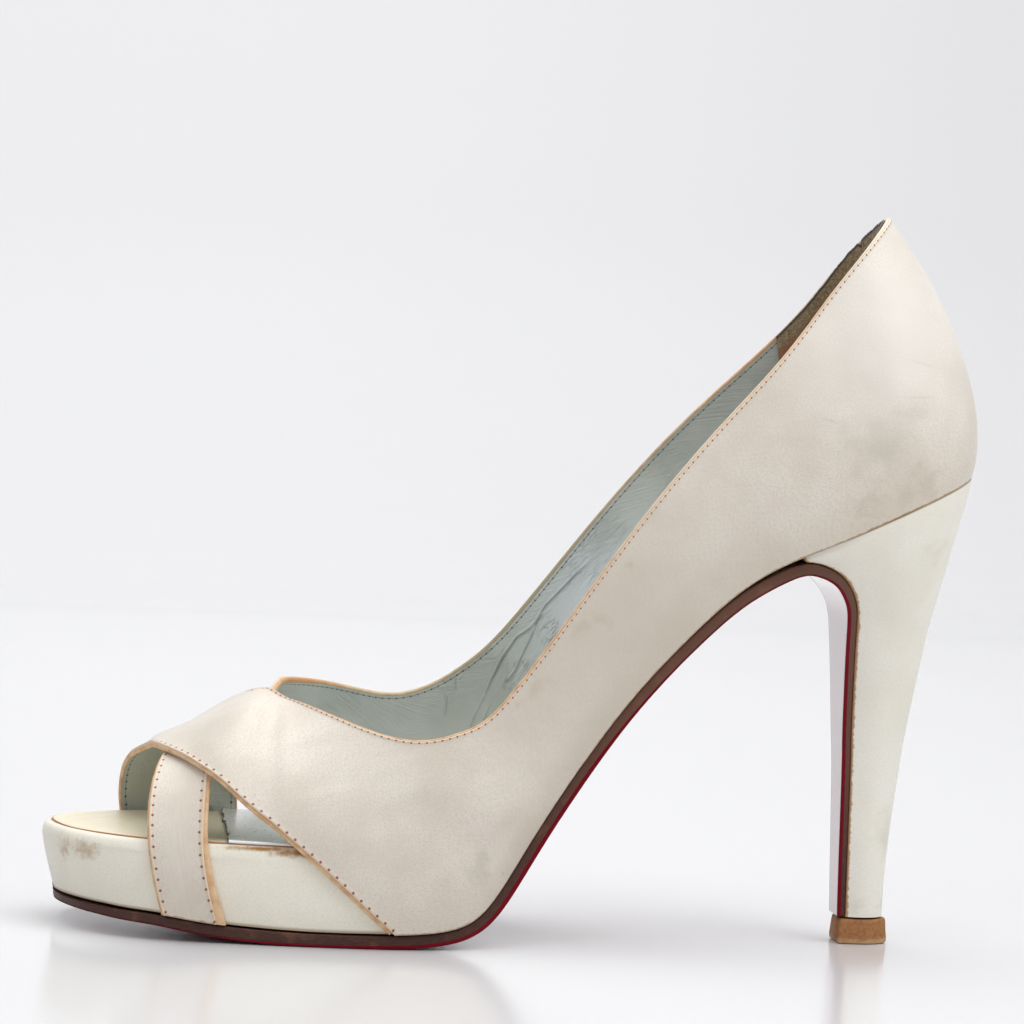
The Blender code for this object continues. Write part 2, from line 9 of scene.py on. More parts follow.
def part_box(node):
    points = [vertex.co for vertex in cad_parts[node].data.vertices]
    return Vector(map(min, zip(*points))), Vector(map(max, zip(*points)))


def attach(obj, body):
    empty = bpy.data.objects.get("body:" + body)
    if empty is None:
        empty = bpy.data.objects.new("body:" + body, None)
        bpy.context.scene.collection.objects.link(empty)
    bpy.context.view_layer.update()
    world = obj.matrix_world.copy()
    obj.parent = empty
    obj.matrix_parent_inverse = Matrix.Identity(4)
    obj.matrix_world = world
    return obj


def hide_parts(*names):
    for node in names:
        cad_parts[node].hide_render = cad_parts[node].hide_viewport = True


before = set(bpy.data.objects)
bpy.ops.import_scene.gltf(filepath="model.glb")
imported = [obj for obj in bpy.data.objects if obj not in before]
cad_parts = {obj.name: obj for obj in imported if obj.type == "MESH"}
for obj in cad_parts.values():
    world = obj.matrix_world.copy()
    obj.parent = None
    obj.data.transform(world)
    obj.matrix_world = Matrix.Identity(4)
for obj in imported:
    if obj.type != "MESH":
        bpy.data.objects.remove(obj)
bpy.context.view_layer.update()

# THE OUTSOLE
# One thin sheet of leather from the toe to the heel tip, cemented under the platform and the
# arch and bent down the front of the heel. Its edge is stained brown. The underside is
# lacquered in a dark wine colour that shows as a line along the edge's foot.
# The last is the wooden form that every piece is cut to. It is a left foot's, with sections from
# toe to heel as shares of the shoe's sizes; row 0 is the toe's tip.
SHOE_LENGTH = 0.222
BALL_WIDTH = 0.079
SEAT_HEIGHT = 0.1110
COLLAR_RISE = 0.0614
SOLE_THICKNESS = 0.0030
FIT_GAP = 0.0003
LAST_COLUMNS = ("along", "lift", "lateral", "medial", "top_along", "rise", "rise_m",
                "top", "top_m", "flare", "lean", "lean_m", "foot", "head")
LAST_ROWS = (
    (0.0077, 0.0330, -0.055, 0.055, 0.036, 0.440, 0.440, -0.055, 0.055, 15, 88, 88, 0.55, 0.35),
    (0.0290, 0.0330, 0.190, 0.272, 0.046, 0.450, 0.450, -0.050, 0.050, 14, 88, 88, 0.52, 0.36),
    (0.0600, 0.0310, 0.317, 0.367, 0.062, 0.470, 0.470, -0.040, 0.040, 12, 88, 88, 0.50, 0.40),
    (0.0870, 0.0280, 0.380, 0.418, 0.087, 0.525, 0.525, -0.030, 0.030, 10, 88, 88, 0.50, 0.44),
    (0.1230, 0.0240, 0.432, 0.454, 0.123, 0.600, 0.600, -0.020, 0.020, 9, 88, 88, 0.48, 0.45),
    (0.1680, 0.0120, 0.456, 0.468, 0.168, 0.702, 0.702, -0.015, 0.015, 8, 88, 88, 0.47, 0.45),
    (0.2260, 0.0035, 0.481, 0.481, 0.226, 0.832, 0.877, -0.010, 0.010, 8, 86, 86, 0.45, 0.42),
    (0.2800, 0.0000, 0.497, 0.490, 0.279, 0.831, 0.904, 0.200, 0.175, 7, 58, 54, 0.43, 0.38),
    (0.3300, 0.0000, 0.506, 0.491, 0.333, 0.768, 0.862, 0.350, 0.325, 7, 34, 32, 0.42, 0.36),
    (0.3840, 0.0025, 0.501, 0.481, 0.384, 0.733, 0.827, 0.411, 0.392, 7, 23, 21, 0.40, 0.34),
    (0.4380, 0.0200, 0.475, 0.456, 0.427, 0.735, 0.836, 0.420, 0.411, 9, 18, 16, 0.38, 0.34),
    (0.4740, 0.0800, 0.430, 0.405, 0.457, 0.684, 0.795, 0.415, 0.410, 14, 14, 13, 0.36, 0.34),
    (0.5100, 0.1930, 0.380, 0.348, 0.484, 0.590, 0.672, 0.411, 0.405, 20, 10, 10, 0.35, 0.34),
    (0.5550, 0.3320, 0.335, 0.291, 0.515, 0.492, 0.549, 0.405, 0.399, 25, 8, 8, 0.35, 0.34),
    (0.6090, 0.4830, 0.304, 0.253, 0.560, 0.456, 0.492, 0.395, 0.389, 26, 6, 6, 0.35, 0.34),
    (0.6720, 0.6280, 0.291, 0.247, 0.623, 0.516, 0.532, 0.373, 0.367, 24, 6, 6, 0.34, 0.34),
    (0.7450, 0.7620, 0.297, 0.272, 0.695, 0.593, 0.598, 0.333, 0.329, 20, 8, 8, 0.32, 0.34),
    (0.8170, 0.8370, 0.316, 0.304, 0.763, 0.736, 0.716, 0.285, 0.282, 17, 12, 12, 0.28, 0.36),
    (0.8710, 0.8880, 0.323, 0.323, 0.812, 0.880, 0.826, 0.234, 0.232, 16, 18, 18, 0.25, 0.38),
    (0.9320, 0.9450, 0.280, 0.280, 0.850, 0.952, 0.914, 0.198, 0.198, 16, 26, 26, 0.22, 0.41),
    (0.9770, 0.9850, 0.162, 0.162, 0.878, 0.995, 0.972, 0.116, 0.116, 17, 35, 35, 0.20, 0.48),
    (0.9935, 1.0000, 0.000, 0.000, 0.889, 1.000, 1.000, 0.000, 0.000, 17, 39, 39, 0.195, 0.50),
)


def spline(values, closed=False):
    """A smooth curve through evenly numbered rows, as a function of the row number."""
    values = np.asarray(values, float)
    n = len(values)
    system, right = np.zeros((n, n)), np.zeros_like(values)
    for i in range(n):
        if closed or 0 < i < n - 1:
            after = (i + 1) % n
            system[i, i - 1], system[i, i], system[i, after] = 1, 4, 1
            right[i] = 6 * (values[i - 1] - 2 * values[i] + values[after])
        else:
            system[i, i] = 1
    bend = np.linalg.solve(system, right)

    def at(row):
        row = np.mod(row, n) if closed else np.asarray(row, float)
        i = np.clip(np.floor(row).astype(int), 0, n - 1 if closed else n - 2)
        j = (i + 1) % n
        f = (row - i)[..., None] if values.ndim > 1 else row - i
        g = 1 - f
        return g * values[i] + f * values[j] + ((g**3 - g) * bend[i] + (f**3 - f) * bend[j]) / 6

    return at


LAST = dict(zip(LAST_COLUMNS, np.array(LAST_ROWS).T))
LAST_ROW = len(LAST_ROWS) - 1
LOOP_ROWS = 2 * LAST_ROW


def x_of(along):
    return (along - 0.5) * SHOE_LENGTH


def round_the_last(lateral, medial):
    """A spline from the toe along the outer side to the heel and back along the inner side."""
    return spline(np.concatenate([lateral, medial[-2:0:-1]]), closed=True)


def last_line(along, y_names, rises):
    x = x_of(LAST[along])
    z = SOLE_THICKNESS + FIT_GAP + LAST["lift"] * SEAT_HEIGHT
    sides = []
    for side, y, rise in zip((-1, 1), y_names, rises):
        height = z + (LAST[rise] * COLLAR_RISE if rise else 0)
        sides.append(np.column_stack([x, side * LAST[y] * BALL_WIDTH, height]))
    return round_the_last(*sides)


feather_line = last_line("along", ("lateral", "medial"), (None, None))


def unit(v):
    return v / np.maximum(np.linalg.norm(v, axis=-1, keepdims=True), 1e-12)


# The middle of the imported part's box is the origin, a little off the last's own middle.
heel_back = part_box("heel")[1]
tip_low, tip_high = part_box("top_piece")
LAST_MIDDLE = np.array([heel_back[0] - x_of(LAST["along"][-1]), (tip_low[1] + tip_high[1]) / 2, 0])

SOLE_INSET = 0.0010
SOLE_TOE_INSET = 0.0016
TOE_END, TOE_FINER = 2, 3
SOLE_TOE_SHARE = 0.50
SOLE_TAPER_ROWS = 6
SOLE_ROWS = 16
BEND_REACH, BEND_PASSES = 10, 9
FLOOR_GAP = 0.00002
# The flap is skived thinner down the breast: row of the breast, share of the thickness.
BREAST_SKIVED, BREAST_SHARES = (0, 3, 6, 13), (1.0, 0.9, 0.74, 0.62)
# Its turn down the heel breast: along, height above the sole's thickness, half width.
BREAST_ROWS = (
    (0.7748, 0.7900, 0.278), (0.7964, 0.8040, 0.264), (0.8194, 0.8005, 0.246), (0.8423, 0.7784, 0.223),
    (0.8554, 0.7468, 0.201), (0.8626, 0.7120, 0.180), (0.8648, 0.6690, 0.158), (0.8657, 0.6072, 0.135),
    (0.8671, 0.5153, 0.112), (0.8685, 0.4252, 0.095), (0.8700, 0.3477, 0.085), (0.8716, 0.1802, 0.074),
    (0.8725, 0.0811, 0.068), (0.8729, 0.0310, 0.066),
)
breast_at = spline(BREAST_ROWS)


# Points of a piece that lie closer than this, in metres, are one point.
WELD = 1e-7


def skin(name, points, marks, material, around=False, ends=False, flip=False):
    """A piece through a grid of points; marks are its own measures, kept for its finish."""
    rows, columns = points.shape[:2]
    index = np.arange(rows * columns).reshape(rows, columns)
    following = np.roll(index, -1, axis=1) if around else index[:, 1:]
    first = index if around else index[:, :-1]
    faces = np.stack([first[:-1], first[1:], following[1:], following[:-1]], -1).reshape(-1, 4)
    faces = [tuple(f) for f in (faces[:, ::-1] if flip else faces)]
    if ends:
        for line, turned in ((index[0], True), (index[-1], False)):
            for i in range(columns // 2 - 1):
                strip = (line[i], line[i + 1], line[columns - 2 - i], line[columns - 1 - i])
                faces.append(strip if turned != flip else strip[::-1])
    mesh = bpy.data.meshes.new(name)
    mesh.from_pydata(points.reshape(-1, 3).tolist(), [], faces)
    for label, values in marks.items():
        kind, field = ("FLOAT_VECTOR", "vector") if values.ndim == 3 else ("FLOAT", "value")
        layer = mesh.attributes.new(label, kind, "POINT")
        layer.data.foreach_set(field, values.astype(np.float32).ravel())
    build = bmesh.new()
    build.from_mesh(mesh)
    bmesh.ops.remove_doubles(build, verts=build.verts, dist=WELD)
    build.to_mesh(mesh)
    build.free()
    mesh.shade_smooth()
    piece = bpy.data.objects.new(name, mesh)
    bpy.context.scene.collection.objects.link(piece)
    mesh.materials.append(material)
    return piece


def stands_for(piece, node):
    """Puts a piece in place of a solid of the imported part."""
    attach(piece, "root")
    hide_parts(node)
    return piece


def measured(points):
    """Distances in mm along and across a grid, for weave, grain and wear at their true size."""
    along = np.linalg.norm(np.diff(points, axis=0, prepend=points[:1]), axis=-1).cumsum(0)
    across = np.linalg.norm(np.diff(points, axis=1, prepend=points[:, :1]), axis=-1).cumsum(1)
    return np.stack([along, across, 0 * along], -1) * 1000


def finish(name, **values):
    """A new finish: its tree and its shader, with the shader's fixed values set on its sockets."""
    material = bpy.data.materials.new(name)
    material.use_nodes = True
    shader = material.node_tree.nodes["Principled BSDF"]
    for key, value in values.items():
        shader.inputs[key.replace("_", " ")].default_value = value
    return material, material.node_tree, shader


def feed(tree, socket, value):
    """Links another node's output to a socket, or sets the socket's own value."""
    if isinstance(value, bpy.types.NodeSocket):
        tree.links.new(value, socket)
    elif socket.type == "RGBA":
        socket.default_value = (*value, 1)
    else:
        socket.default_value = value


def add(tree, kind, settings=None, **inputs):
    """A shader node, fed by numbers or by other nodes' outputs."""
    made = tree.nodes.new("ShaderNode" + kind)
    for key, value in (settings or {}).items():
        setattr(made, key, value)
    for key, value in inputs.items():
        feed(tree, made.inputs[key.replace("_", " ")], value)
    return made.outputs[0]


def math_of(tree, how, first, second=0.0):
    made = tree.nodes.new("ShaderNodeMath")
    made.operation = how
    feed(tree, made.inputs[0], first)
    feed(tree, made.inputs[1], second)
    return made.outputs[0]


def dyed(tree, share, one, other):
    """A colour between two, by a share."""
    made = tree.nodes.new("ShaderNodeMix")
    made.data_type = "RGBA"
    feed(tree, made.inputs[0], share)
    feed(tree, made.inputs[6], one)
    feed(tree, made.inputs[7], other)
    return made.outputs[2]


def paint(*srgb):
    """A colour as it is seen, 0 to 255, in the shader's own linear terms."""
    return tuple(((c / 255 + 0.055) / 1.055) ** 2.4 if c > 10 else c / 3294.6 for c in srgb)


def tinted(tree, colour, share, strength, stain):
    """A colour stained by a share of another one."""
    return dyed(tree, math_of(tree, "MULTIPLY", share, strength), colour, paint(*stain))


def ranged(tree, value, low, high, to_low=0.0, to_high=1.0):
    return add(tree, "MapRange", {"interpolation_type": "SMOOTHSTEP"}, Value=value,
               From_Min=low, From_Max=high, To_Min=to_low, To_Max=to_high)


def marks_of(tree, label, scale=(1, 1, 1)):
    """A piece's own measures as a vector, stretched by a scale."""
    read = tree.nodes.new("ShaderNodeAttribute")
    read.attribute_name = label
    return add(tree, "Mapping", Vector=read.outputs["Vector"], Scale=scale)


def value_of(tree, label):
    read = tree.nodes.new("ShaderNodeAttribute")
    read.attribute_name = label
    return read.outputs["Fac"]


def place(tree, scale=1.0):
    """Places in the shoe itself, in mm times a scale."""
    read = tree.nodes.new("ShaderNodeTexCoord")
    return add(tree, "Mapping", Vector=read.outputs["Object"], Scale=(1000 * scale,) * 3)


def cloud(tree, vector, scale, detail=3.0, roughness=0.55, distortion=0.0):
    return add(tree, "TexNoise", Vector=vector, Scale=scale, Detail=detail,
               Roughness=roughness, Distortion=distortion)


def bumped(tree, shader, height, depth, strength=1.0, over=None):
    """Relief from a height, its depth in metres; over is relief already there."""
    relief = add(tree, "Bump", Strength=strength, Distance=depth, Height=height)
    if over is not None:
        tree.links.new(over, relief.node.inputs["Normal"])
    if shader is not None:
        tree.links.new(relief, shader.inputs["Normal"])
    return relief


def spot(tree, centre, reach, ragged=0.5, grain=0.35, turn=0.0):
    """1 at a mark's centre and 0 outside it; centre and reach in mm, turn in degrees up from level."""
    where = place(tree)
    shaped = add(tree, "Mapping", {"vector_type": "TEXTURE"}, Vector=where, Location=centre,
                 Rotation=(0, -math.radians(turn), 0), Scale=reach)
    size = add(tree, "VectorMath", {"operation": "LENGTH"}, Vector=shaped).node.outputs["Value"]
    uneven = math_of(tree, "SUBTRACT", cloud(tree, where, grain, 4.0), 0.5)
    uneven = math_of(tree, "MULTIPLY", uneven, 2 * ragged)
    return ranged(tree, math_of(tree, "ADD", size, uneven), 1.15, 0.0)


def toe_rows(end, step):
    """Row numbers for sections, closer together round the toe."""
    near = np.arange(0, TOE_END, step / TOE_FINER)
    return np.concatenate([near, np.arange(TOE_END, end, step), [end]])


def sole_sections(step):
    """The sole's sections: top face, under face, and both edges' distance from the middle."""
    rows = toe_rows(SOLE_ROWS, step)
    lateral, medial = feather_line(rows), feather_line(LOOP_ROWS - rows)
    turn = breast_at(np.arange(0, len(BREAST_ROWS) - 1 + step / 2, step))
    past_toe = np.minimum(rows / TOE_END, 1)
    x = np.concatenate([lateral[:, 0] + SOLE_TOE_INSET * (1 - past_toe), x_of(turn[:, 0])])
    z = np.concatenate([lateral[:, 2] - FIT_GAP, SOLE_THICKNESS + turn[:, 1] * SEAT_HEIGHT])
    inset = SOLE_INSET * past_toe
    half = turn[:, 2] * BALL_WIDTH
    left = np.concatenate([lateral[:, 1] + inset, -half])
    right = np.concatenate([medial[:, 1] - inset, half])
    path = np.column_stack([x, np.maximum(z, SOLE_THICKNESS)])
    bend = np.arange(len(rows) - BEND_REACH, len(rows) + BEND_REACH)
    for _ in range(BEND_PASSES):
        for line in (path, left, right):
            line[bend] = (line[bend - 1] + 2 * line[bend] + line[bend + 1]) / 4
    run = unit(np.gradient(path, axis=0))
    run[path[:, 1] <= SOLE_THICKNESS] = (1, 0)
    taper = np.ones(len(x))
    taper[: len(rows)] = SOLE_TOE_SHARE + (1 - SOLE_TOE_SHARE) * np.minimum(rows / SOLE_TAPER_ROWS, 1)
    taper[len(rows):] = np.interp(np.arange(len(turn)) * step, BREAST_SKIVED, BREAST_SHARES)
    drop = np.column_stack([run[:, 1], -run[:, 0]]) * (SOLE_THICKNESS * taper)[:, None]
    return path, drop, left, right


def sole_ring(path, drop, left, right, depths, insets, inner):
    """Rings of the sole: down the outer edge, across, up the inner edge and back over."""
    outer = np.column_stack([path[:, 0], left, path[:, 1]])
    inner_side = np.column_stack([path[:, 0], right, path[:, 1]])
    fall = np.column_stack([drop[:, 0], 0 * left, drop[:, 1]])
    run = unit(np.gradient(np.concatenate([inner_side[::-1], outer[1:]]), axis=0))
    inward = unit(np.cross(run, np.concatenate([fall[::-1], fall[1:]])))
    n = len(left)
    depths, insets = np.array(depths, ndmin=2)[..., None], np.array(insets, ndmin=2)[..., None]
    outer = outer[:, None] + fall[:, None] * depths + inward[n - 1:][:, None] * insets
    inner_side = inner_side[:, None] + fall[:, None] * depths + inward[n - 1::-1][:, None] * insets
    share = np.linspace(0, 1, inner + 2)[1:-1][None, :, None]
    under = outer[:, -1:] + (inner_side[:, -1:] - outer[:, -1:]) * share
    over = inner_side[:, :1] + (outer[:, :1] - inner_side[:, :1]) * share
    ring = np.concatenate([outer, under, inner_side[:, ::-1], over], axis=1) + LAST_MIDDLE
    ring[..., 2] = np.maximum(ring[..., 2], FLOOR_GAP)
    return ring


sole_leather, tree, shader = finish("stained_sole_edge", Roughness=0.52, Specular_IOR_Level=0.4)
where = place(tree)
streaks = cloud(tree, marks_of(tree, "sole_mm", (0.6, 4.5, 1)), 1.0, 5.0)
brown = dyed(tree, ranged(tree, streaks, 0.35, 0.7), paint(62, 34, 28), paint(88, 52, 40))
worn = ranged(tree, cloud(tree, where, 0.16, 5.0), 0.56, 0.74)
brown = tinted(tree, brown, worn, 0.6, (122, 80, 60))
height = add(tree, "SeparateXYZ", Vector=where).node.outputs[2]
brown = dyed(tree, ranged(tree, height, 8.0, 60.0, 0.0, 0.5), brown, paint(124, 84, 64))
brown = dyed(tree, value_of(tree, "hidden"), brown, paint(86, 60, 46))
tree.links.new(brown, shader.inputs["Base Color"])
tree.links.new(ranged(tree, streaks, 0.3, 0.8, 0.42, 0.68), shader.inputs["Roughness"])
bumped(tree, shader, streaks, 0.0001, 0.6)

SECTION_STEP = 0.12
SOLE_ACROSS = 9
EDGE_DEPTHS = (0.0, 0.04, 0.14, 0.3, 0.5, 0.7, 0.95)
EDGE_INSETS = (0.0002, 0.00005, 0.0, 0.0, 0.0, 0.0, 0.00005)
path, drop, left, right = sole_sections(SECTION_STEP)
rings = sole_ring(path, drop, left, right, EDGE_DEPTHS, EDGE_INSETS, SOLE_ACROSS)
hidden = np.zeros(rings.shape[:2])
hidden[:, 2 * len(EDGE_DEPTHS) + SOLE_ACROSS:] = 1
# Each ring starts at the middle of the under face, so that its ends close square across.
to_middle = -(len(EDGE_DEPTHS) + SOLE_ACROSS // 2 + 1)
sole_marks = {
    "sole_mm": np.roll(measured(rings), to_middle, axis=1),
    "hidden": np.roll(hidden, to_middle, axis=1),
}
rings = np.roll(rings, to_middle, axis=1)
stands_for(skin("outsole_leather", rings, sole_marks, sole_leather, around=True, ends=True),
           "outsole")

lacquer, tree, shader = finish("wine_lacquer", Roughness=0.12, Coat_Weight=1.0, Coat_Roughness=0.04,
                               Specular_IOR_Level=0.6)
where = place(tree)
tread = math_of(tree, "MULTIPLY", ranged(tree, cloud(tree, where, 0.05, 3.0), 0.42, 0.6),
                spot(tree, (-52, 0, 0), (46, 34, 6), 0.5, 0.08))
scratch = cloud(tree, marks_of(tree, "sole_mm", (0.5, 0.06, 1)), 1.2, 5.0, 0.7)
scuff = math_of(tree, "MULTIPLY", tread, ranged(tree, scratch, 0.45, 0.6))
wine = dyed(tree, ranged(tree, cloud(tree, where, 0.03), 0.3, 0.7), paint(120, 6, 28), paint(134, 10, 34))
tree.links.new(dyed(tree, scuff, wine, paint(150, 108, 92)), shader.inputs["Base Color"])
tree.links.new(ranged(tree, scuff, 0, 1, 0.10, 0.6), shader.inputs["Roughness"])
bumped(tree, shader, scratch, 0.00002, 0.3)
FACE_DEPTHS, FACE_INSETS, FACE_ACROSS = (0.985, 1.0), (0.00006, 0.0004), 15
face_columns = FACE_ACROSS + 2 * len(FACE_DEPTHS)
under = sole_ring(path, drop, left, right, FACE_DEPTHS, FACE_INSETS, FACE_ACROSS)[:, :face_columns]
stands_for(skin("outsole_lacquer", under, {"sole_mm": measured(under)}, lacquer), "outsole")

# The lacquer laps over the edge's foot: place along the path as a share, and share of the edge.
LAP_ROWS = (
    (0.00, 0.04), (0.10, 0.10), (0.22, 0.24), (0.34, 0.36), (0.46, 0.34), (0.58, 0.10),
    (0.70, 0.10), (0.76, 0.42), (1.00, 0.50),
)
LAP_SHARES = (1.0, 0.92, 0.45, 0.06, 0.0)
LAP_INSETS = (0.00002, -0.00004, -0.00004, -0.00002, 0.00008)
LAP_UNEVEN = 0.12
lapped, tree, shader = finish("wine_lap", Roughness=0.45, Specular_IOR_Level=0.12)
tone = cloud(tree, marks_of(tree, "sole_mm", (0.5, 3.0, 1)), 1.0, 4.0)
wine = dyed(tree, ranged(tree, tone, 0.35, 0.7), paint(122, 6, 26), paint(104, 8, 26))
tree.links.new(wine, shader.inputs["Base Color"])
bumped(tree, shader, tone, 0.00005, 0.4)
walked = np.linalg.norm(np.diff(path, axis=0, prepend=path[:1]), axis=-1).cumsum()
lap = np.interp(walked / walked[-1], *zip(*LAP_ROWS))
lap *= 1 + LAP_UNEVEN * np.array([noise.noise((v * 60, 4.0, 0)) for v in walked * 10])
lap_depths = 1 - lap[:, None] * np.array(LAP_SHARES)
lap_columns = len(LAP_SHARES)
ring = sole_ring(path, drop, left, right, lap_depths, LAP_INSETS, 1)
# One band runs from the heel along the inner edge, round the toe and back along the outer edge.
band = np.concatenate([ring[::-1, 2 * lap_columns:lap_columns:-1], ring[1:, :lap_columns]])
stands_for(skin("outsole_lap", band, {"sole_mm": measured(band)}, lapped), "outsole")

# THE PLATFORM
# A block of light board under the forefoot that thins out to nothing under the arch.
# It is wrapped in ivory satin, which is glued over its rounded top edge and tucked under it.
WALL = 0.0013
PLATFORM_HEIGHT = 0.0185
PLATFORM_END = 13.5
PLATFORM_ROUND = 0.0032
PLATFORM_RIM = 0.0015
TOE_BULGE = 0.0009
# Ahead of the throat the last has one ridge for both sides; it parts over this many rows.
THROAT_ROW = 6.08
THROAT_FADE = 0.42
# A small step, in rows, for slopes and normals.
A_HAIR = 1e-3
collar_line = last_line("top_along", ("top", "top_m"), ("rise", "rise_m"))
flare_at = round_the_last(LAST["flare"], LAST["flare"])
lean_at = round_the_last(LAST["lean"], LAST["lean_m"])
foot_at = round_the_last(LAST["foot"], LAST["foot"])
head_at = round_the_last(LAST["head"], LAST["head"])


def smooth(share):
    share = np.clip(share, 0, 1)
    return share * share * (3 - 2 * share)


def top_line(loop):
    """The topline, which is one ridge for both sides ahead of the throat."""
    row = np.minimum(loop, LOOP_ROWS - loop)
    outer, inner = collar_line(row), collar_line(LOOP_ROWS - row)
    ridge = (outer + inner) / 2
    ridge[..., 2] = outer[..., 2]
    own = smooth((row - THROAT_ROW) / THROAT_FADE)[..., None]
    return own * collar_line(loop) + (1 - own) * ridge


def on_last(loop, up):
    """Points of the last's skin: loop counts rows round it, up runs from feather line 0 to top 1."""
    loop, up = np.broadcast_arrays(np.asarray(loop, float), np.asarray(up, float))
    run = feather_line(loop + A_HAIR) - feather_line(loop - A_HAIR)
    out = unit(np.stack([run[..., 1], -run[..., 0], 0 * run[..., 0]], -1))
    foot, head = feather_line(loop), top_line(loop)
    chord = head - foot
    size = np.linalg.norm(chord, axis=-1, keepdims=True)
    rise = unit(chord - (chord * out).sum(-1, keepdims=True) * out)
    flare = np.radians(flare_at(loop))[..., None]
    lean = np.radians(lean_at(loop))[..., None]
    low = foot + foot_at(loop)[..., None] * size * (rise * np.cos(flare) + out * np.sin(flare))
    high = head + head_at(loop)[..., None] * size * (out * np.sin(lean) - rise * np.cos(lean))
    t, s = up[..., None], 1 - up[..., None]
    return s**3 * foot + 3 * s * s * t * low + 3 * s * t * t * high + t**3 * head + LAST_MIDDLE


def last_normal(loop, up):
    up = np.clip(up, A_HAIR, 1 - A_HAIR)
    along = on_last(loop + A_HAIR, up) - on_last(loop - A_HAIR, up)
    return unit(np.cross(along, on_last(loop, up + A_HAIR) - on_last(loop, up - A_HAIR)))


# The footbed's height: along, share of the platform's height, share of the seat's height.
FOOTBED_ROWS = (
    (0.000, 1.02, 0.0000), (0.087, 1.00, 0.0000), (0.222, 0.99, 0.0000), (0.312, 0.99, 0.0000),
    (0.366, 1.00, 0.0020), (0.411, 1.00, 0.0170), (0.447, 1.00, 0.0480), (0.479, 1.00, 0.0920),
    (0.510, 0.92, 0.1640), (0.546, 0.68, 0.2860), (0.582, 0.44, 0.4010), (0.627, 0.20, 0.5280),
    (0.681, 0.06, 0.6470), (0.745, 0.01, 0.7640), (0.781, 0.01, 0.8030), (0.817, 0.01, 0.8390),
    (0.871, 0.01, 0.8900), (0.932, 0.01, 0.9470), (0.977, 0.01, 0.9870), (1.000, 0.01, 1.0060),
)
footbed_rows = spline(FOOTBED_ROWS)(np.linspace(0, len(FOOTBED_ROWS) - 1, 400))
FOOTBED_X = x_of(footbed_rows[:, 0]) + LAST_MIDDLE[0]
FOOTBED_Z = SOLE_THICKNESS + footbed_rows[:, 1] * PLATFORM_HEIGHT + footbed_rows[:, 2] * SEAT_HEIGHT


def footbed(x, lift=0.0):
    """The footbed's height, or that of a layer that lies on it square to its slope."""
    slope = np.gradient(FOOTBED_Z, FOOTBED_X)
    size = np.sqrt(1 + slope**2)
    return np.interp(x, FOOTBED_X - slope / size * lift, FOOTBED_Z + lift / size)


def inside_last(loop, inset, height):
    """Where the last, moved in by an inset, meets a height given for each place round it."""
    up = np.linspace(0, 1, 90)
    loop = np.asarray(loop, float)[:, None]
    inset = np.broadcast_to(inset, loop[:, 0].shape)[:, None, None]
    wall = on_last(loop, up) - inset * last_normal(loop, up)
    above = wall[..., 2] - height(wall)
    above[:, 0] = np.minimum(above[:, 0], -1e-9)
    high = np.argmax(above > 0, axis=1)
    row = np.arange(len(wall))
    a, b = above[row, high - 1], above[row, high]
    share = (a / (a - b))[:, None]
    return wall[row, high - 1] + share * (wall[row, high] - wall[row, high - 1])


# A block's top: how far the rim and the top may rise inward, the step from the rim down to the top,
# and the row where its middle line starts.
RIM_RISE, TOP_RISE, RIM_STEP, MIDDLE_START = 0.0015, 0.0020, 0.0001, 1.5


def round_the_toe(end, step):
    rows = toe_rows(end, step)
    return np.concatenate([-rows[:0:-1], rows])


def block(loop, inset, low, high, corner, steps, rim=0.0, rim_width=None):
    """Side wall, rounded edge and top of a block that fills the last between two heights.
    A rim stands above the top all round, as wide as it is told."""
    wall_steps, round_steps, top_steps = steps
    foot = inside_last(loop, inset, low)
    rim = np.broadcast_to(rim, loop.shape)
    crown = inside_last(loop, inset, lambda wall: high(wall) + rim[:, None])
    walls = [foot]
    for share in np.linspace(0, 1, wall_steps + 1)[1:-1]:
        level = foot[:, 2] + share * (crown[:, 2] - foot[:, 2])
        walls.append(inside_last(loop, inset, lambda wall: level[:, None]))
    run = unit(np.gradient(foot, axis=0))
    inward = np.stack([-run[:, 1], run[:, 0], 0 * run[:, 0]], -1)
    reach = np.minimum(corner, 0.45 * (crown[:, 2] - foot[:, 2]))[:, None]
    down = unit(walls[-1] - crown)
    near_rim = crown + inward * (reach if rim_width is None else rim_width[:, None])
    near_rim[:, 2] = np.minimum(high(near_rim) + rim, crown[:, 2] + RIM_RISE)
    turn = []
    for t in np.linspace(0, 1, round_steps + 1):
        turn.append((1 - t) ** 2 * (crown + down * reach) + 2 * t * (1 - t) * crown + t * t * near_rim)
    level = (crown + down * reach)[:, 2]
    walls = [np.where((w[:, 2] > level)[:, None], turn[0], w) for w in walls]
    row = np.maximum(np.abs(loop), MIDDLE_START)
    middle = np.empty_like(near_rim)
    for i in range(3):
        middle[:, i] = (np.interp(row, loop, near_rim[:, i]) + np.interp(-row, loop, near_rim[:, i])) / 2
    tops = [near_rim + s * (middle - near_rim) for s in np.linspace(0, 1, top_steps + 1)[1:]]
    if rim_width is not None:
        tops.insert(0, near_rim + inward * RIM_STEP)
    for top in tops:
        top[:, 2] = np.minimum(high(top), top[:, 2] + TOP_RISE)
    return np.stack(walls + turn + tops, axis=1)


def spots(tree, rows):
    """Several marks as one share; each row is a spot's centre, reach, ragged, grain and turn."""
    total = spot(tree, *rows[0])
    for row in rows[1:]:
        total = math_of(tree, "MAXIMUM", total, spot(tree, *row))
    return total


THREAD_SHADE = 0.82
WARP_SCALE, WEFT_SCALE = (1.3, 3.8, 1), (4.2, 1.5, 1)


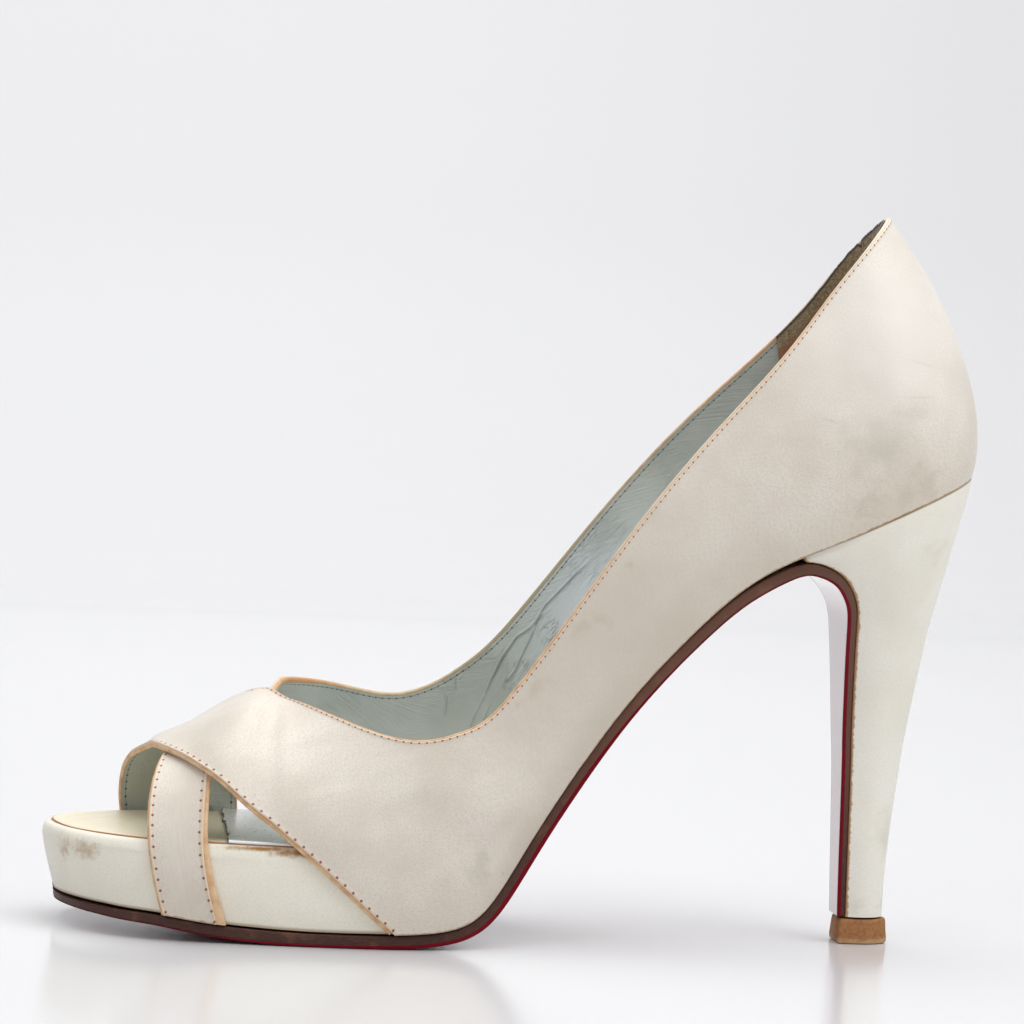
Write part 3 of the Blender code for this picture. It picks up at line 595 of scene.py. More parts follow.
def satin(name, light, shade, slub, depth=0.00003, **values):
    """A satin finish: fine warp and weft, slubs, and a slight change of tone from place to place."""
    material, tree, shader = finish(name, **values)
    warp = cloud(tree, marks_of(tree, "cloth_mm", WARP_SCALE), 1.0, 2.0)
    weft = cloud(tree, marks_of(tree, "cloth_mm", WEFT_SCALE), 1.0, 2.0)
    weave = math_of(tree, "ADD", math_of(tree, "MULTIPLY", warp, 0.6), math_of(tree, "MULTIPLY", weft, 0.4))
    tone = cloud(tree, place(tree), 0.06, 4.0)
    colour = dyed(tree, ranged(tree, tone, 0.3, 0.7), paint(*light), paint(*shade))
    threads = tuple(THREAD_SHADE * c for c in paint(*shade))
    slubs = math_of(tree, "MULTIPLY", ranged(tree, weave, 0.44, 0.62), slub)
    colour = dyed(tree, slubs, colour, threads)
    tree.links.new(ranged(tree, weave, 0.3, 0.7, 0.38, 0.58), shader.inputs["Roughness"])
    return material, tree, shader, colour, bumped(tree, shader, weave, depth, 0.7)


GLUED_SATIN = {"Roughness": 0.5, "Sheen_Weight": 0.25, "Sheen_Roughness": 0.4, "Specular_IOR_Level": 0.35}
platform_satin, tree, shader, colour, _ = satin(
    "platform_satin", (247, 243, 230), (240, 235, 219), 0.4, **GLUED_SATIN)
rubbed = spots(tree, (
    ((-106.0, -12, 18.9), (1.7, 6, 3.4), 0.9, 0.7),
    ((-101.2, -20, 19.2), (4.4, 6, 2.4), 1.0, 0.6),
))
colour = tinted(tree, colour, rubbed, 0.6, (176, 134, 84))
glue = spots(tree, (
    ((-53.0, -36, 21.7), (9, 5, 1.5), 0.7, 0.6),
    ((-48.0, -37, 21.2), (4, 5, 2.0), 0.9, 0.7),
    ((-61, -35, 22.3), (14, 5, 0.8), 0.6, 0.7),
))
colour = dyed(tree, glue, colour, paint(160, 112, 52))
low_soil = ranged(tree, value_of(tree, "from_sole"), 1.1, 0.0)
colour = tinted(tree, colour, low_soil, 0.75, (150, 118, 78))
tree.links.new(colour, shader.inputs["Base Color"])

INSOLE_SIDE_GAP = 0.0006
INSOLE_TOE_INSET = 0.0020
INSET_START, INSET_FADE = 3, 4


def insole_inset(loop):
    """How far the insole's edge lies inside the upper's wall: wide at the toe, close at the waist."""
    share = np.clip((np.abs(loop) - INSET_START) / INSET_FADE, 0, 1)
    return INSOLE_TOE_INSET + share * (INSOLE_SIDE_GAP - INSOLE_TOE_INSET)


RIM_END, RIM_FADE = 11.5, 2.5
RIM_CLEAR = 0.00012
BULGE_END, BULGE_FULL = 3.5, 0.8
loop = round_the_toe(PLATFORM_END, SECTION_STEP)
rim = PLATFORM_RIM * smooth((RIM_END - np.abs(loop)) / RIM_FADE)
shape = block(loop, WALL + FIT_GAP, lambda wall: 0 * wall[..., 0] - 1, lambda wall: footbed(wall[..., 0]),
              PLATFORM_ROUND, (16, 8, 10), rim, insole_inset(loop) - RIM_CLEAR)
toe_share = smooth(1 - np.abs(loop) / BULGE_END)[:, None]
height_share = (shape[..., 2] - shape[:, :1, 2]) / (BULGE_FULL * PLATFORM_HEIGHT)
shape[..., 0] -= TOE_BULGE * toe_share * smooth(height_share)
cloth = measured(shape)
stands_for(skin("platform_wrap", shape, {"cloth_mm": cloth, "from_sole": cloth[..., 1]}, platform_satin),
           "platform")

# THE INSOLE
# The board that the foot stands on, from toe to heel seat. Its toe is covered in ivory kid,
# with a raw tan edge, and a silvery sock is glued over the rest. The sock's front is torn.
INSOLE_THICKNESS = 0.0016
INSOLE_END = 20.6
SOCK_THICKNESS = 0.0004
SOCK_FRONT = -0.0683
SOCK_OVERLAP = 0.0005

kid, tree, shader = finish("ivory_kid", Roughness=0.4, Specular_IOR_Level=0.45)
where = place(tree)
grain = add(tree, "TexVoronoi", Vector=where, Scale=1.6)
tone = ranged(tree, cloud(tree, marks_of(tree, "cloth_mm", (0.5, 0.08, 1)), 1.0, 4.0), 0.35, 0.7)
colour = dyed(tree, tone, paint(232, 223, 198), paint(224, 213, 182))
edge = ranged(tree, value_of(tree, "from_edge"), 2.0, 1.75)
colour = dyed(tree, edge, colour, paint(166, 116, 70))
tree.links.new(colour, shader.inputs["Base Color"])
bumped(tree, shader, grain, 0.00003, 0.4)
BOARD_ROUND, BOARD_STEP, BOARD_STEPS = 0.0005, 0.15, (3, 4, 10)
loop = round_the_toe(INSOLE_END, BOARD_STEP)
board = block(loop, WALL + FIT_GAP + insole_inset(loop), lambda wall: footbed(wall[..., 0], FIT_GAP),
              lambda wall: footbed(wall[..., 0], FIT_GAP + INSOLE_THICKNESS), BOARD_ROUND, BOARD_STEPS)
board[..., 0] -= TOE_BULGE * smooth(1 - np.abs(loop) / BULGE_END)[:, None]
cloth = measured(board)
stands_for(skin("insole_cover", board, {"cloth_mm": cloth, "from_edge": cloth[..., 1]}, kid),
           "insole")


def grid_normal(points):
    """Outward normals of a grid of points, rows along the piece and columns up it."""
    return unit(np.cross(np.gradient(points, axis=0), np.gradient(points, axis=1)))


sock_finish, tree, shader = finish("silvered_sock", Metallic=0.3, Roughness=0.3, Coat_Weight=0.5,
                                   Coat_Roughness=0.2)
where = place(tree)
crackle = cloud(tree, where, 0.9, 5.0, 0.65)
colour = dyed(tree, ranged(tree, crackle, 0.35, 0.7), paint(250, 252, 253), paint(238, 243, 246))
rubbed = ranged(tree, cloud(tree, where, 0.12, 4.0), 0.5, 0.72)
colour = tinted(tree, colour, rubbed, 0.4, (228, 226, 220))
ragged = math_of(tree, "MULTIPLY", cloud(tree, where, 1.3, 3.0), 0.3)
# A dark band along the tear: partly the torn edge itself, partly painted shadow at the step of the sock's
# edge.
torn_edge_and_shadow = ranged(tree, math_of(tree, "ADD", value_of(tree, "from_tear"), ragged), 0.42, 0.3)
colour = dyed(tree, torn_edge_and_shadow, colour, paint(60, 56, 50))
pinhole = spot(tree, (-61.5, -12.9, 23.9), (0.45, 1.4, 2), 0.1, 1.0)
colour = dyed(tree, pinhole, colour, paint(50, 48, 46))
tree.links.new(colour, shader.inputs["Base Color"])
tree.links.new(ranged(tree, crackle, 0.3, 0.75, 0.26, 0.4), shader.inputs["Roughness"])
bumped(tree, shader, cloud(tree, where, 0.18, 2.0), 0.0002, 0.2)

SOCK_ROWS, SOCK_COLUMNS, SOCK_END = 170, 81, 20.2
# The sock's edges lie on the board's rounded rim, which is the end of its turned edge.
rim = board[:, BOARD_STEPS[0] + BOARD_STEPS[1]]
side = np.linspace(-1, 1, SOCK_COLUMNS)
tear = np.array([noise.noise((v * 5.1, 3.7, 0)) + 0.35 * noise.noise((v * 19, 1.3, 0)) for v in side])
front_x = SOCK_FRONT + 0.0008 * side + 0.0007 * tear
front_row = np.interp(front_x, rim[len(rim) // 2:, 0], loop[len(rim) // 2:])
along = np.linspace(0, 1, SOCK_ROWS)[:, None]
row = front_row + (SOCK_END - front_row) * along**1.15
inner_share, outer_share = (1 + side) / 2, (1 - side) / 2
sock = np.empty((*row.shape, 3))
for i in range(3):
    inner_rim, outer_rim = np.interp(-row, loop, rim[:, i]), np.interp(row, loop, rim[:, i])
    sock[..., i] = inner_rim * inner_share + outer_rim * outer_share
sock[..., 1] += SOCK_OVERLAP * side
face = grid_normal(sock)
face *= np.sign(face[..., 2:])
SOCK_GAP, SOCK_CURL, HEM_LIFT, SIDE_DROP = 0.00012, 0.00025, 0.00005, 0.0002
curl = SOCK_CURL * np.exp(-along * 90) * (0.6 + tear[None, :])
body = sock + face * (SOCK_GAP + SOCK_THICKNESS + curl)[..., None]
from_tear = np.linalg.norm(sock - sock[:1], axis=-1) * 1000
torn_hem = sock[:1] + face[:1] * HEM_LIFT
body = np.concatenate([torn_hem, body])
from_tear = np.concatenate([from_tear[:1], from_tear])
sides = body.copy()
sides[..., 2] -= SOCK_THICKNESS + SIDE_DROP
body = np.concatenate([sides[:, :1], body, sides[:, -1:]], axis=1)
from_tear = np.concatenate([from_tear[:, :1], from_tear, from_tear[:, -1:]], axis=1)
stands_for(skin("sock_pad", body, {"from_tear": from_tear}, sock_finish), "insole")

# THE HEEL
# A tall slim block of moulded plastic under a satin cover. The cover is drawn round it and glued
# down on the breast, and the block is screwed up into the seat, which leaves a fine seam.
# Each row: place down the breast, the back's along and height, half width.
HEEL_ROWS = (
    (1.05, 0.9935, 1.0000, 0.3230), (1.30, 0.9905, 0.9600, 0.3080), (2.40, 0.9840, 0.9080, 0.2800),
    (3.50, 0.9745, 0.8330, 0.2440), (4.70, 0.9644, 0.7480, 0.2080), (5.80, 0.9558, 0.6780, 0.1770),
    (7.00, 0.9480, 0.5960, 0.1500), (8.00, 0.9407, 0.5100, 0.1260), (9.00, 0.9338, 0.4240, 0.1060),
    (10.00, 0.9291, 0.3470, 0.0930), (11.00, 0.9209, 0.1800, 0.0800), (13.00, 0.9178, 0.0310, 0.0730),
)
HEEL_WIDEST = 0.38
SEAT_ROUND = 0.00012
SEAT_GAP = 0.00005
BREAST_AHEAD = 0.05
COVER_RINGS = 150


def heel_ring(front, back, front_half, half, side_steps, back_steps):
    """One ring of the heel: a straight breast, fuller sides and an elliptical back."""
    turn = HEEL_WIDEST
    round_back = turn + (1 - turn) * np.sin(np.linspace(0, math.pi / 2, back_steps))
    share = np.concatenate([np.linspace(0, turn, side_steps)[:-1], round_back])
    fore = front_half + (half - front_half) * np.sin(math.pi / 2 * np.minimum(share / turn, 1))
    aft = half * np.sqrt(np.maximum(1 - ((share - turn) / (1 - turn)) ** 2, 0))
    side = np.where(share < turn, fore, aft)
    x = front[0] + (back[0] - front[0]) * share
    z = front[1] + (back[1] - front[1]) * share
    outer, inner = np.column_stack([x, -side, z]), np.column_stack([x, side, z])
    return np.concatenate([outer, inner[-2::-1]])


def heel_rings(places):
    seat = feather_line(np.linspace(0, LAST_ROW, 400))
    rings = []
    for place_on_breast, back_along, back_height, half in spline(HEEL_ROWS)(places):
        here, ahead = breast_at(place_on_breast), breast_at(place_on_breast + BREAST_AHEAD)
        run = unit((ahead - here)[:2] * (SHOE_LENGTH, SEAT_HEIGHT))
        on_breast = np.array([x_of(here[0]), SOLE_THICKNESS + here[1] * SEAT_HEIGHT])
        front = on_breast + FIT_GAP * np.array([-run[1], run[0]])
        back = np.array([x_of(back_along), SOLE_THICKNESS + back_height * SEAT_HEIGHT])
        rings.append(heel_ring(front, back, here[2] * BALL_WIDTH, half * BALL_WIDTH, 10, 26))
    rings = np.array(rings)
    fade = smooth(1 - places)[:, None]
    on_seat = np.interp(rings[0, :, 0], seat[:, 0], seat[:, 2]) - SEAT_GAP - rings[0, :, 2]
    rings[..., 2] += fade * on_seat
    return rings + LAST_MIDDLE


rings = heel_rings(np.linspace(0, len(HEEL_ROWS) - 1, COVER_RINGS))
middle = rings.mean(axis=1, keepdims=True)
lip = rings[:1] + unit(middle[:1] - rings[:1]) * SEAT_ROUND
rings[0, :, 2] -= SEAT_ROUND
rings = np.concatenate([lip, rings])
cloth = measured(rings)
heel_satin, tree, shader, colour, _ = satin(
    "heel_satin", (247, 244, 233), (240, 236, 222), 0.3, **GLUED_SATIN)
seam = ranged(tree, value_of(tree, "from_seat"), 0.6, 0.25)
colour = tinted(tree, colour, seam, 0.8, (172, 138, 96))
soiled = spots(tree, (
    ((92, -5, 26), (3.5, 6, 8), 1.0, 0.3),
    ((84.5, -6, 9), (4, 5, 3.0), 1.0, 0.5),
    ((93, 0, 9.5), (3.5, 6, 3.5), 1.0, 0.5),
    ((100, -18, 96), (7, 8, 4), 1.1, 0.25),
))
colour = tinted(tree, colour, soiled, 0.18, (160, 150, 122))
ragged = math_of(tree, "MULTIPLY", cloud(tree, place(tree), 0.9, 4.0), 1.3)
glued = ranged(tree, math_of(tree, "ADD", value_of(tree, "from_breast"), ragged), 1.25, 0.95)
colour = tinted(tree, colour, glued, 0.85, (188, 134, 72))
tree.links.new(colour, shader.inputs["Base Color"])
to_breast = np.minimum(cloth[..., 1], cloth[:, -1:, 1] - cloth[..., 1])
marks = {"cloth_mm": cloth, "from_seat": cloth[..., 0], "from_breast": to_breast}
stands_for(skin("heel_cover", rings, marks, heel_satin, around=True), "heel")

# THE TOP PIECE
# A small plug of hard rubber under the heel's tip, nailed on and trimmed flush with the cover.
# Its lower edge is scraped pale by walking.
TOP_PIECE_OVERHANG = 0.0010
TOP_PIECE_FRONT = 0.0008
# Its side from the floor up: height and how far it stands out, in mm.
TOP_PIECE_ROWS = (
    (0, -2.2), (0, -0.1), (0.1, 0.25), (0.4, 0.42), (1.2, 0.48), (3.0, 0.3),
    (4.8, 0.12), (5.6, 0.0), (5.95, -0.25), (6.0, -0.8), (6.0, -2.2),
)
# The rows of its side that are chipped.
CHIPPED = slice(1, 6)
CHIP_DEPTH, CHIP_SCALE = 0.00025, 900
rubber, tree, shader = finish("tan_rubber", Roughness=0.62, Specular_IOR_Level=0.35)
where = place(tree)
speckle = cloud(tree, where, 1.1, 6.0, 0.7)
colour = dyed(tree, ranged(tree, speckle, 0.35, 0.7), paint(172, 120, 74), paint(142, 94, 56))
uneven = math_of(tree, "MULTIPLY", cloud(tree, where, 0.6, 3.0), 2.4)
scraped = ranged(tree, math_of(tree, "ADD", value_of(tree, "from_floor"), uneven), 2.9, 1.5)
colour = tinted(tree, colour, scraped, 0.8, (204, 168, 128))
tree.links.new(colour, shader.inputs["Base Color"])
bumped(tree, shader, speckle, 0.00008, 0.4)
front = x_of(BREAST_ROWS[-1][0]) - BREAST_SHARES[-1] * SOLE_THICKNESS + TOP_PIECE_FRONT
back = x_of(HEEL_ROWS[-1][1]) + TOP_PIECE_OVERHANG
front_half, half = BREAST_ROWS[-1][2] * BALL_WIDTH, HEEL_ROWS[-1][3] * BALL_WIDTH
rings = []
for height, out in np.array(TOP_PIECE_ROWS) / 1000:
    fore, aft = np.array([front - out, height]), np.array([back + out, height])
    rings.append(heel_ring(fore, aft, front_half + out, half + out, 12, 20))
rings = np.array(rings) + LAST_MIDDLE
plug_middle = np.array([0.0865, 0])
for ring in rings[CHIPPED]:
    for point in ring:
        chip = noise.noise(Vector(point * CHIP_SCALE)) * CHIP_DEPTH
        point[:2] += unit(plug_middle - point[:2]) * max(chip, 0)
stands_for(skin("top_piece_plug", rings, {"from_floor": 1000 * rings[..., 2]}, rubber, around=True),
           "top_piece")

# THE UPPER
# Satin backed with leather, cut as two panels that are one strip round the heel. Each panel runs
# on over the vamp as the other side's strap, and the outer one lies on top where they cross.
# Its edges are bound with tan leather and stitched, and it is lined with grey-green kid.
# Each row: the front edge's place, then the rear edge's. A place is a loop row from the toe and
# a share round: 0 is the topline, -1 the outer feather line and 1 the inner one.
OUTER_PANEL_ROWS = (
    (8.58, -1.00, 9.40, 0.00), (7.70, -0.85, 8.60, 0.00), (6.88, -0.74, 7.80, 0.00),
    (6.01, -0.65, 7.00, 0.00), (5.26, -0.48, 6.07, 0.00), (4.47, -0.27, 5.96, 0.10),
    (3.78, -0.03, 5.96, 0.28), (3.62, 0.22, 5.97, 0.46), (3.62, 0.48, 5.97, 0.64),
    (3.60, 0.72, 5.99, 0.82), (3.64, 1.00, 6.05, 1.00),
)
INNER_PANEL_ROWS = (
    (8.58, 1.00, 9.40, 0.00), (7.65, 0.86, 8.60, 0.00), (6.80, 0.75, 7.80, 0.00),
    (5.98, 0.66, 7.00, 0.00), (5.30, 0.50, 6.07, 0.00), (4.72, 0.27, 5.82, -0.10),
    (4.38, -0.02, 5.60, -0.26), (4.22, -0.27, 5.32, -0.42), (4.12, -0.50, 5.22, -0.60),
    (4.03, -0.76, 5.19, -0.80), (3.96, -1.00, 5.38, -1.00),
)
LAYER_GAP = 0.00045
DRAPE_START = 0.0025
DRAPE_LENGTH = 0.0080
STITCH_IN, COLLAR_STITCH_IN = 1.45, 0.95
SATIN_THICKNESS = 0.0003
STRAP_LINES = 170
QUARTER_LINES = 400
WAIST_LINES = 200
WAIST_LOOP = (26.3, 32.2)
EDGE_REACH = 56


def strap_lines(rows, side, steps, across):
    """(loop, up) of the lines across a panel and its strap, from the quarter to the strap's end."""
    at = spline(rows)(np.linspace(0, len(rows) - 1, steps))
    front, rear = at[:, None, 0:2], at[:, None, 2:4].copy()
    rear[at[:, 2] > THROAT_ROW, :, 1] = 0
    grid = front + (rear - front) * across[..., None]
    along, around = grid[..., 0], grid[..., 1]
    outer = (around < 0) | ((around == 0) & (side < 0))
    return np.where(outer, along, LOOP_ROWS - along), np.clip(1 - np.abs(around), 0, 1)


def strip_lines(across):
    """(loop, up) of the whole strip: inner strap, outer panel, heel, inner panel, outer strap."""
    first, last = across[:STRAP_LINES][::-1], across[-STRAP_LINES:]
    outer = strap_lines(OUTER_PANEL_ROWS, -1, STRAP_LINES, first)
    inner = strap_lines(INNER_PANEL_ROWS, 1, STRAP_LINES, last)
    low, high = OUTER_PANEL_ROWS[0][0], OUTER_PANEL_ROWS[0][2]
    line_marks = (0, QUARTER_LINES - WAIST_LINES, QUARTER_LINES - 2, QUARTER_LINES + 1)
    loop_marks = (high, *WAIST_LOOP, LOOP_ROWS - high)
    top = np.interp(np.arange(1, QUARTER_LINES + 1), line_marks, loop_marks)
    t = ((top - high) / (LOOP_ROWS - 2 * high))[:, None]
    share = across[STRAP_LINES:-STRAP_LINES]
    bottom, top = low + t * (LOOP_ROWS - 2 * low), high + t * (LOOP_ROWS - 2 * high)
    loops = np.concatenate([outer[0][::-1], bottom + (top - bottom) * share, inner[0]])
    return loops, np.concatenate([outer[1][::-1], share + 0 * t, inner[1]])


LINES = 2 * STRAP_LINES + QUARTER_LINES


def draped(loop, up):
    """Points of the upper's face, with its normals: the last, and the step over the inner panel."""
    points, normals = on_last(loop, up), last_normal(loop, up)
    lift = np.zeros(loop.shape)
    for i in range(min(STRAP_LINES, len(points))):
        for j in range(points.shape[1]):
            away = (inner_panel.find(points[i, j])[2] - DRAPE_START) / DRAPE_LENGTH
            lift[i, j] = (WALL + LAYER_GAP) * (1 - smooth(away))
    return points + lift[..., None] * normals, normals


UNDER_LINES, UNDER_COLUMNS = 160, 60
under_lines = np.tile(np.linspace(0, 1, UNDER_COLUMNS), (UNDER_LINES, 1))
under = on_last(*strap_lines(INNER_PANEL_ROWS, 1, UNDER_LINES, under_lines)).reshape(-1, 3)
inner_panel = kdtree.KDTree(len(under))
for i, point in enumerate(under):
    inner_panel.insert(point, i)
inner_panel.balance()


# Farther than any distance on the shoe, in metres and in mm.
FAR = 1e9
NO_EDGE = 99.0


def from_edge(points, edge, lines, pitch):
    """Distance from an edge in mm, place along it counted in stitches, and the stitch length."""
    step = np.linalg.norm(np.diff(edge, axis=0, prepend=edge[:1]), axis=-1)
    count = (step * 1000 / pitch).cumsum()
    run = unit(np.gradient(edge, axis=0))
    best = np.full(points.shape[:2], FAR)
    place_on = np.zeros(points.shape[:2])
    size = np.zeros(points.shape[:2])
    for k in range(-EDGE_REACH, EDGE_REACH + 1):
        other = np.clip(lines + k, 0, len(edge) - 1)
        away = points - edge[other][:, None]
        forward = (away * run[other][:, None]).sum(-1)
        distance = np.linalg.norm(away, axis=-1)
        inner = (other > 0) & (other < len(edge) - 1)
        square = np.sqrt(np.maximum(distance**2 - np.where(inner[:, None], forward, 0) ** 2, 0))
        better = distance < best
        best = np.where(better, distance, best)
        size = np.where(better, square, size)
        counted = count[other][:, None] + forward * 1000 / pitch[other][:, None]
        place_on = np.where(better, counted, place_on)
    stitch = np.broadcast_to(pitch[np.clip(lines, 0, len(edge) - 1)][:, None], size.shape)
    return np.stack([size * 1000, place_on, stitch], -1)


TRIAL_STEPS = 60
trial = np.tile(np.linspace(0, 1, TRIAL_STEPS + 1), (LINES, 1))
face, _ = draped(*strip_lines(trial))
every_line = np.arange(LINES)
front_edge, rear_edge = face[:, 0], face[:, -1]
STRAP_STITCH, COLLAR_STITCH = 2.6, 1.75
COLLAR_START, COLLAR_FADE = 100, 12
NEAR_LINES = 40
from_end = np.minimum(every_line, LINES - 1 - every_line)
fade_in = smooth((from_end - COLLAR_START) / COLLAR_FADE)
stitch_length = STRAP_STITCH + (COLLAR_STITCH - STRAP_STITCH) * fade_in
front_stitch = np.full(STRAP_LINES, STRAP_STITCH)


def edge_marks(points):
    """Marks of both edges for every line of a grid; the quarter's lower edge has no binding."""
    rear = from_edge(points, rear_edge, every_line, stitch_length)
    front = np.full(rear.shape, NO_EDGE)
    strap = every_line[:STRAP_LINES]
    last_strap = len(points) - STRAP_LINES
    first_edge, last_edge = front_edge[:STRAP_LINES], front_edge[-STRAP_LINES:]
    # Rows of the grid, the edge that they are near, and the edge's line that each row starts from.
    for rows, edge, lines in (
        (slice(0, STRAP_LINES), first_edge, strap),
        (slice(last_strap, None), last_edge, strap),
        (slice(STRAP_LINES, STRAP_LINES + NEAR_LINES), first_edge, np.full(NEAR_LINES, STRAP_LINES - 1)),
        (slice(last_strap - NEAR_LINES, last_strap), last_edge, np.zeros(NEAR_LINES, int)),
    ):
        front[rows] = from_edge(points[rows], edge, lines, front_stitch)
    return rear, front


rear_mark, front_mark = edge_marks(face)
# How much of the tan binding shows, in mm: least round the collar, most at the outer strap's foot.
WIDENING_LINES = 0.72 * STRAP_LINES
strap_run = np.clip((every_line - (LINES - WIDENING_LINES)) / WIDENING_LINES, 0, 1)
rear_show = 0.5 + 1.5 * strap_run**5
front_show = np.full(LINES, 0.55)
front_show[:STRAP_LINES] = np.interp(every_line[:STRAP_LINES], (0, 85, 104, 122), (0.45, 0.5, 0.7, 0.9))
rear_line = STITCH_IN + (COLLAR_STITCH_IN - STITCH_IN) * fade_in + 0.8 * strap_run**2.5
inner_row = LOOP_ROWS - strip_lines(np.ones((LINES, 1)))[0][:, 0]
inner_side = every_line > LINES / 2
INSIDE_SHOW = 0.42
at_throat = np.exp(-((inner_row - 6.5) / 0.7) ** 2)
at_waist = np.exp(-((inner_row - 13.2) / 1.4) ** 2)
inside_show = INSIDE_SHOW + inner_side * (0.6 * at_throat + 0.3 * at_waist)


def share_at(mark, show, forward):
    """Where across each line the distance from an edge reaches the binding's width."""
    found = np.zeros(LINES)
    for i in range(LINES):
        distance = mark[i, :, 0] if forward else mark[i, ::-1, 0]
        close = int(np.argmax(distance > show[i]))
        if close == 0:
            continue
        a, b = distance[close - 1], distance[close]
        found[i] = (close - 1 + (show[i] - a) / (b - a)) / TRIAL_STEPS
    return found


bound = np.zeros(LINES, bool)
bound[:STRAP_LINES] = bound[-STRAP_LINES:] = True
front_share = np.where(bound, share_at(front_mark, front_show, True), 0.0)
rear_share = 1 - share_at(rear_mark, rear_show, False)

# Creases and soft waves: width and depth in mm, and the places that each runs through.
OUTER_WAVES = (
    (9.0, 0.50, ((9.6, -0.72), (8.6, -0.30))), (6.0, 0.35, ((10.6, -0.80), (9.9, -0.45))),
    (7.0, -0.30, ((11.4, -0.70), (10.6, -0.25))), (8.0, 0.30, ((7.2, -0.45), (6.9, -0.20))),
    (8.0, 0.35, ((13.0, -0.15), (12.2, -0.55))), (9.0, 0.30, ((16.2, -0.50), (15.4, -0.15))),
    (9.0, 0.50, ((9.8, 0.72), (8.8, 0.30))), (6.0, 0.35, ((11.2, 0.75), (10.5, 0.30))),
    (6.0, 0.25, ((18.4, -0.35), (18.0, -0.75))), (5.0, 0.25, ((19.6, -0.55), (20.6, -0.60))),
)
LINING_CREASES = (
    (0.42, 0.34, ((14.59, 0.22), (14.24, 0.19), (13.66, 0.15), (13.33, 0.18), (12.96, 0.13),
                  (12.45, 0.15), (11.94, 0.23))),
    (0.38, 0.30, ((13.78, 0.21), (13.50, 0.18), (13.21, 0.23), (12.79, 0.30), (12.07, 0.30))),
    (0.36, 0.24, ((12.73, 0.13), (12.10, 0.20), (11.78, 0.25))),
    (0.38, 0.20, ((11.94, 0.23), (11.40, 0.30), (10.90, 0.42))),
    (0.38, 0.20, ((12.07, 0.30), (11.50, 0.40), (11.10, 0.52))),
    (0.40, 0.20, ((14.67, 0.05), (14.60, 0.12))), (0.40, 0.18, ((14.46, 0.05), (14.40, 0.11))),
    (0.45, 0.20, ((10.86, 0.03), (10.80, 0.10))), (0.45, 0.20, ((10.50, 0.08), (10.38, 0.20))),
    (0.60, 0.18, ((9.0, 0.42), (9.6, 0.38), (10.2, 0.36))), (0.70, 0.18, ((7.6, 0.35), (8.6, 0.48))),
    (1.40, 0.30, ((4.4, 0.62), (4.9, 0.88))), (1.20, 0.25, ((4.9, 0.60), (5.3, 0.84))),
    (1.20, 0.25, ((5.4, 0.70), (5.7, 0.86))),
)


CREASE_STEPS = 21
CREASE_WANDER = 0.006
CREASE_FADE = 0.2
# A crease has a low shoulder on each side: its height and place, as shares of depth and width.
SHOULDER_HEIGHT, SHOULDER_AT = 0.35, 1.7


def creased(points, creases):
    """Depth in metres at each point: troughs, and ridges where a depth is negative."""
    depth = np.zeros(points.shape[:2])
    t = np.linspace(0, 1, CREASE_STEPS + 1)
    for width, deep, places in creases:
        knots = np.array(places)
        at = np.linspace(0, 1, len(knots))
        along = np.interp(t, at, knots[:, 0])
        wander = CREASE_WANDER * np.array([noise.noise((knots[0, 0] * 3, k * 6, deep)) for k in t])
        around = np.interp(t, at, knots[:, 1]) + wander
        line = on_last(np.where(around < 0, along, LOOP_ROWS - along), 1 - np.abs(around))
        best = np.full(points.shape[:2], FAR)
        share = np.zeros(points.shape[:2])
        for a, b, k in zip(line[:-1], line[1:], t):
            run = b - a
            s = np.clip(((points - a) * run).sum(-1) / (run @ run), 0, 1)
            away = np.linalg.norm(points - a - s[..., None] * run, axis=-1)
            share = np.where(away < best, k + s / CREASE_STEPS, share)
            best = np.minimum(best, away)
        ends = smooth(share / CREASE_FADE) * smooth((1 - share) / CREASE_FADE)
        w = best * 1000 / width
        shoulder = SHOULDER_HEIGHT * np.exp(-((w - SHOULDER_AT) ** 2))
        depth += 0.001 * deep * ends * (np.exp(-w * w) - shoulder)
    return depth


# Columns lie close together near an edge: their distances from it, in mm.
close_in = np.array([0, 0.15, 0.35, 0.6, 0.9, 1.3, 1.8, 2.4, 3.2, 4.2]) / 1000
wide = np.maximum(np.linalg.norm(np.diff(face, axis=1), axis=-1).sum(1), 0.004)
edge_in = np.minimum(close_in[None, :] / wide[:, None], 0.3 * close_in[None, :] / close_in[-1])
inner_in = np.linspace(0, 1, 40)[None, 1:-1]


def spread_out(edge_columns, inner_columns):
    """Shares across each line, from its front edge through the middle to its rear edge."""
    middle = edge_columns[:, -1:] + (1 - 2 * edge_columns[:, -1:]) * inner_columns
    return np.concatenate([edge_columns, middle, 1 - edge_columns[:, ::-1]], axis=1)


across = front_share[:, None] + (rear_share - front_share)[:, None] * spread_out(edge_in, inner_in)
satin_face, satin_normal = draped(*strip_lines(across))
rear_mark, front_mark = edge_marks(satin_face)
near_front = front_mark[..., 0] < NO_EDGE
front_away = np.where(near_front, front_mark[..., 0] - front_show[:, None], NO_EDGE)
edge_away = np.maximum(np.minimum(rear_mark[..., 0] - rear_show[:, None], front_away), 0)
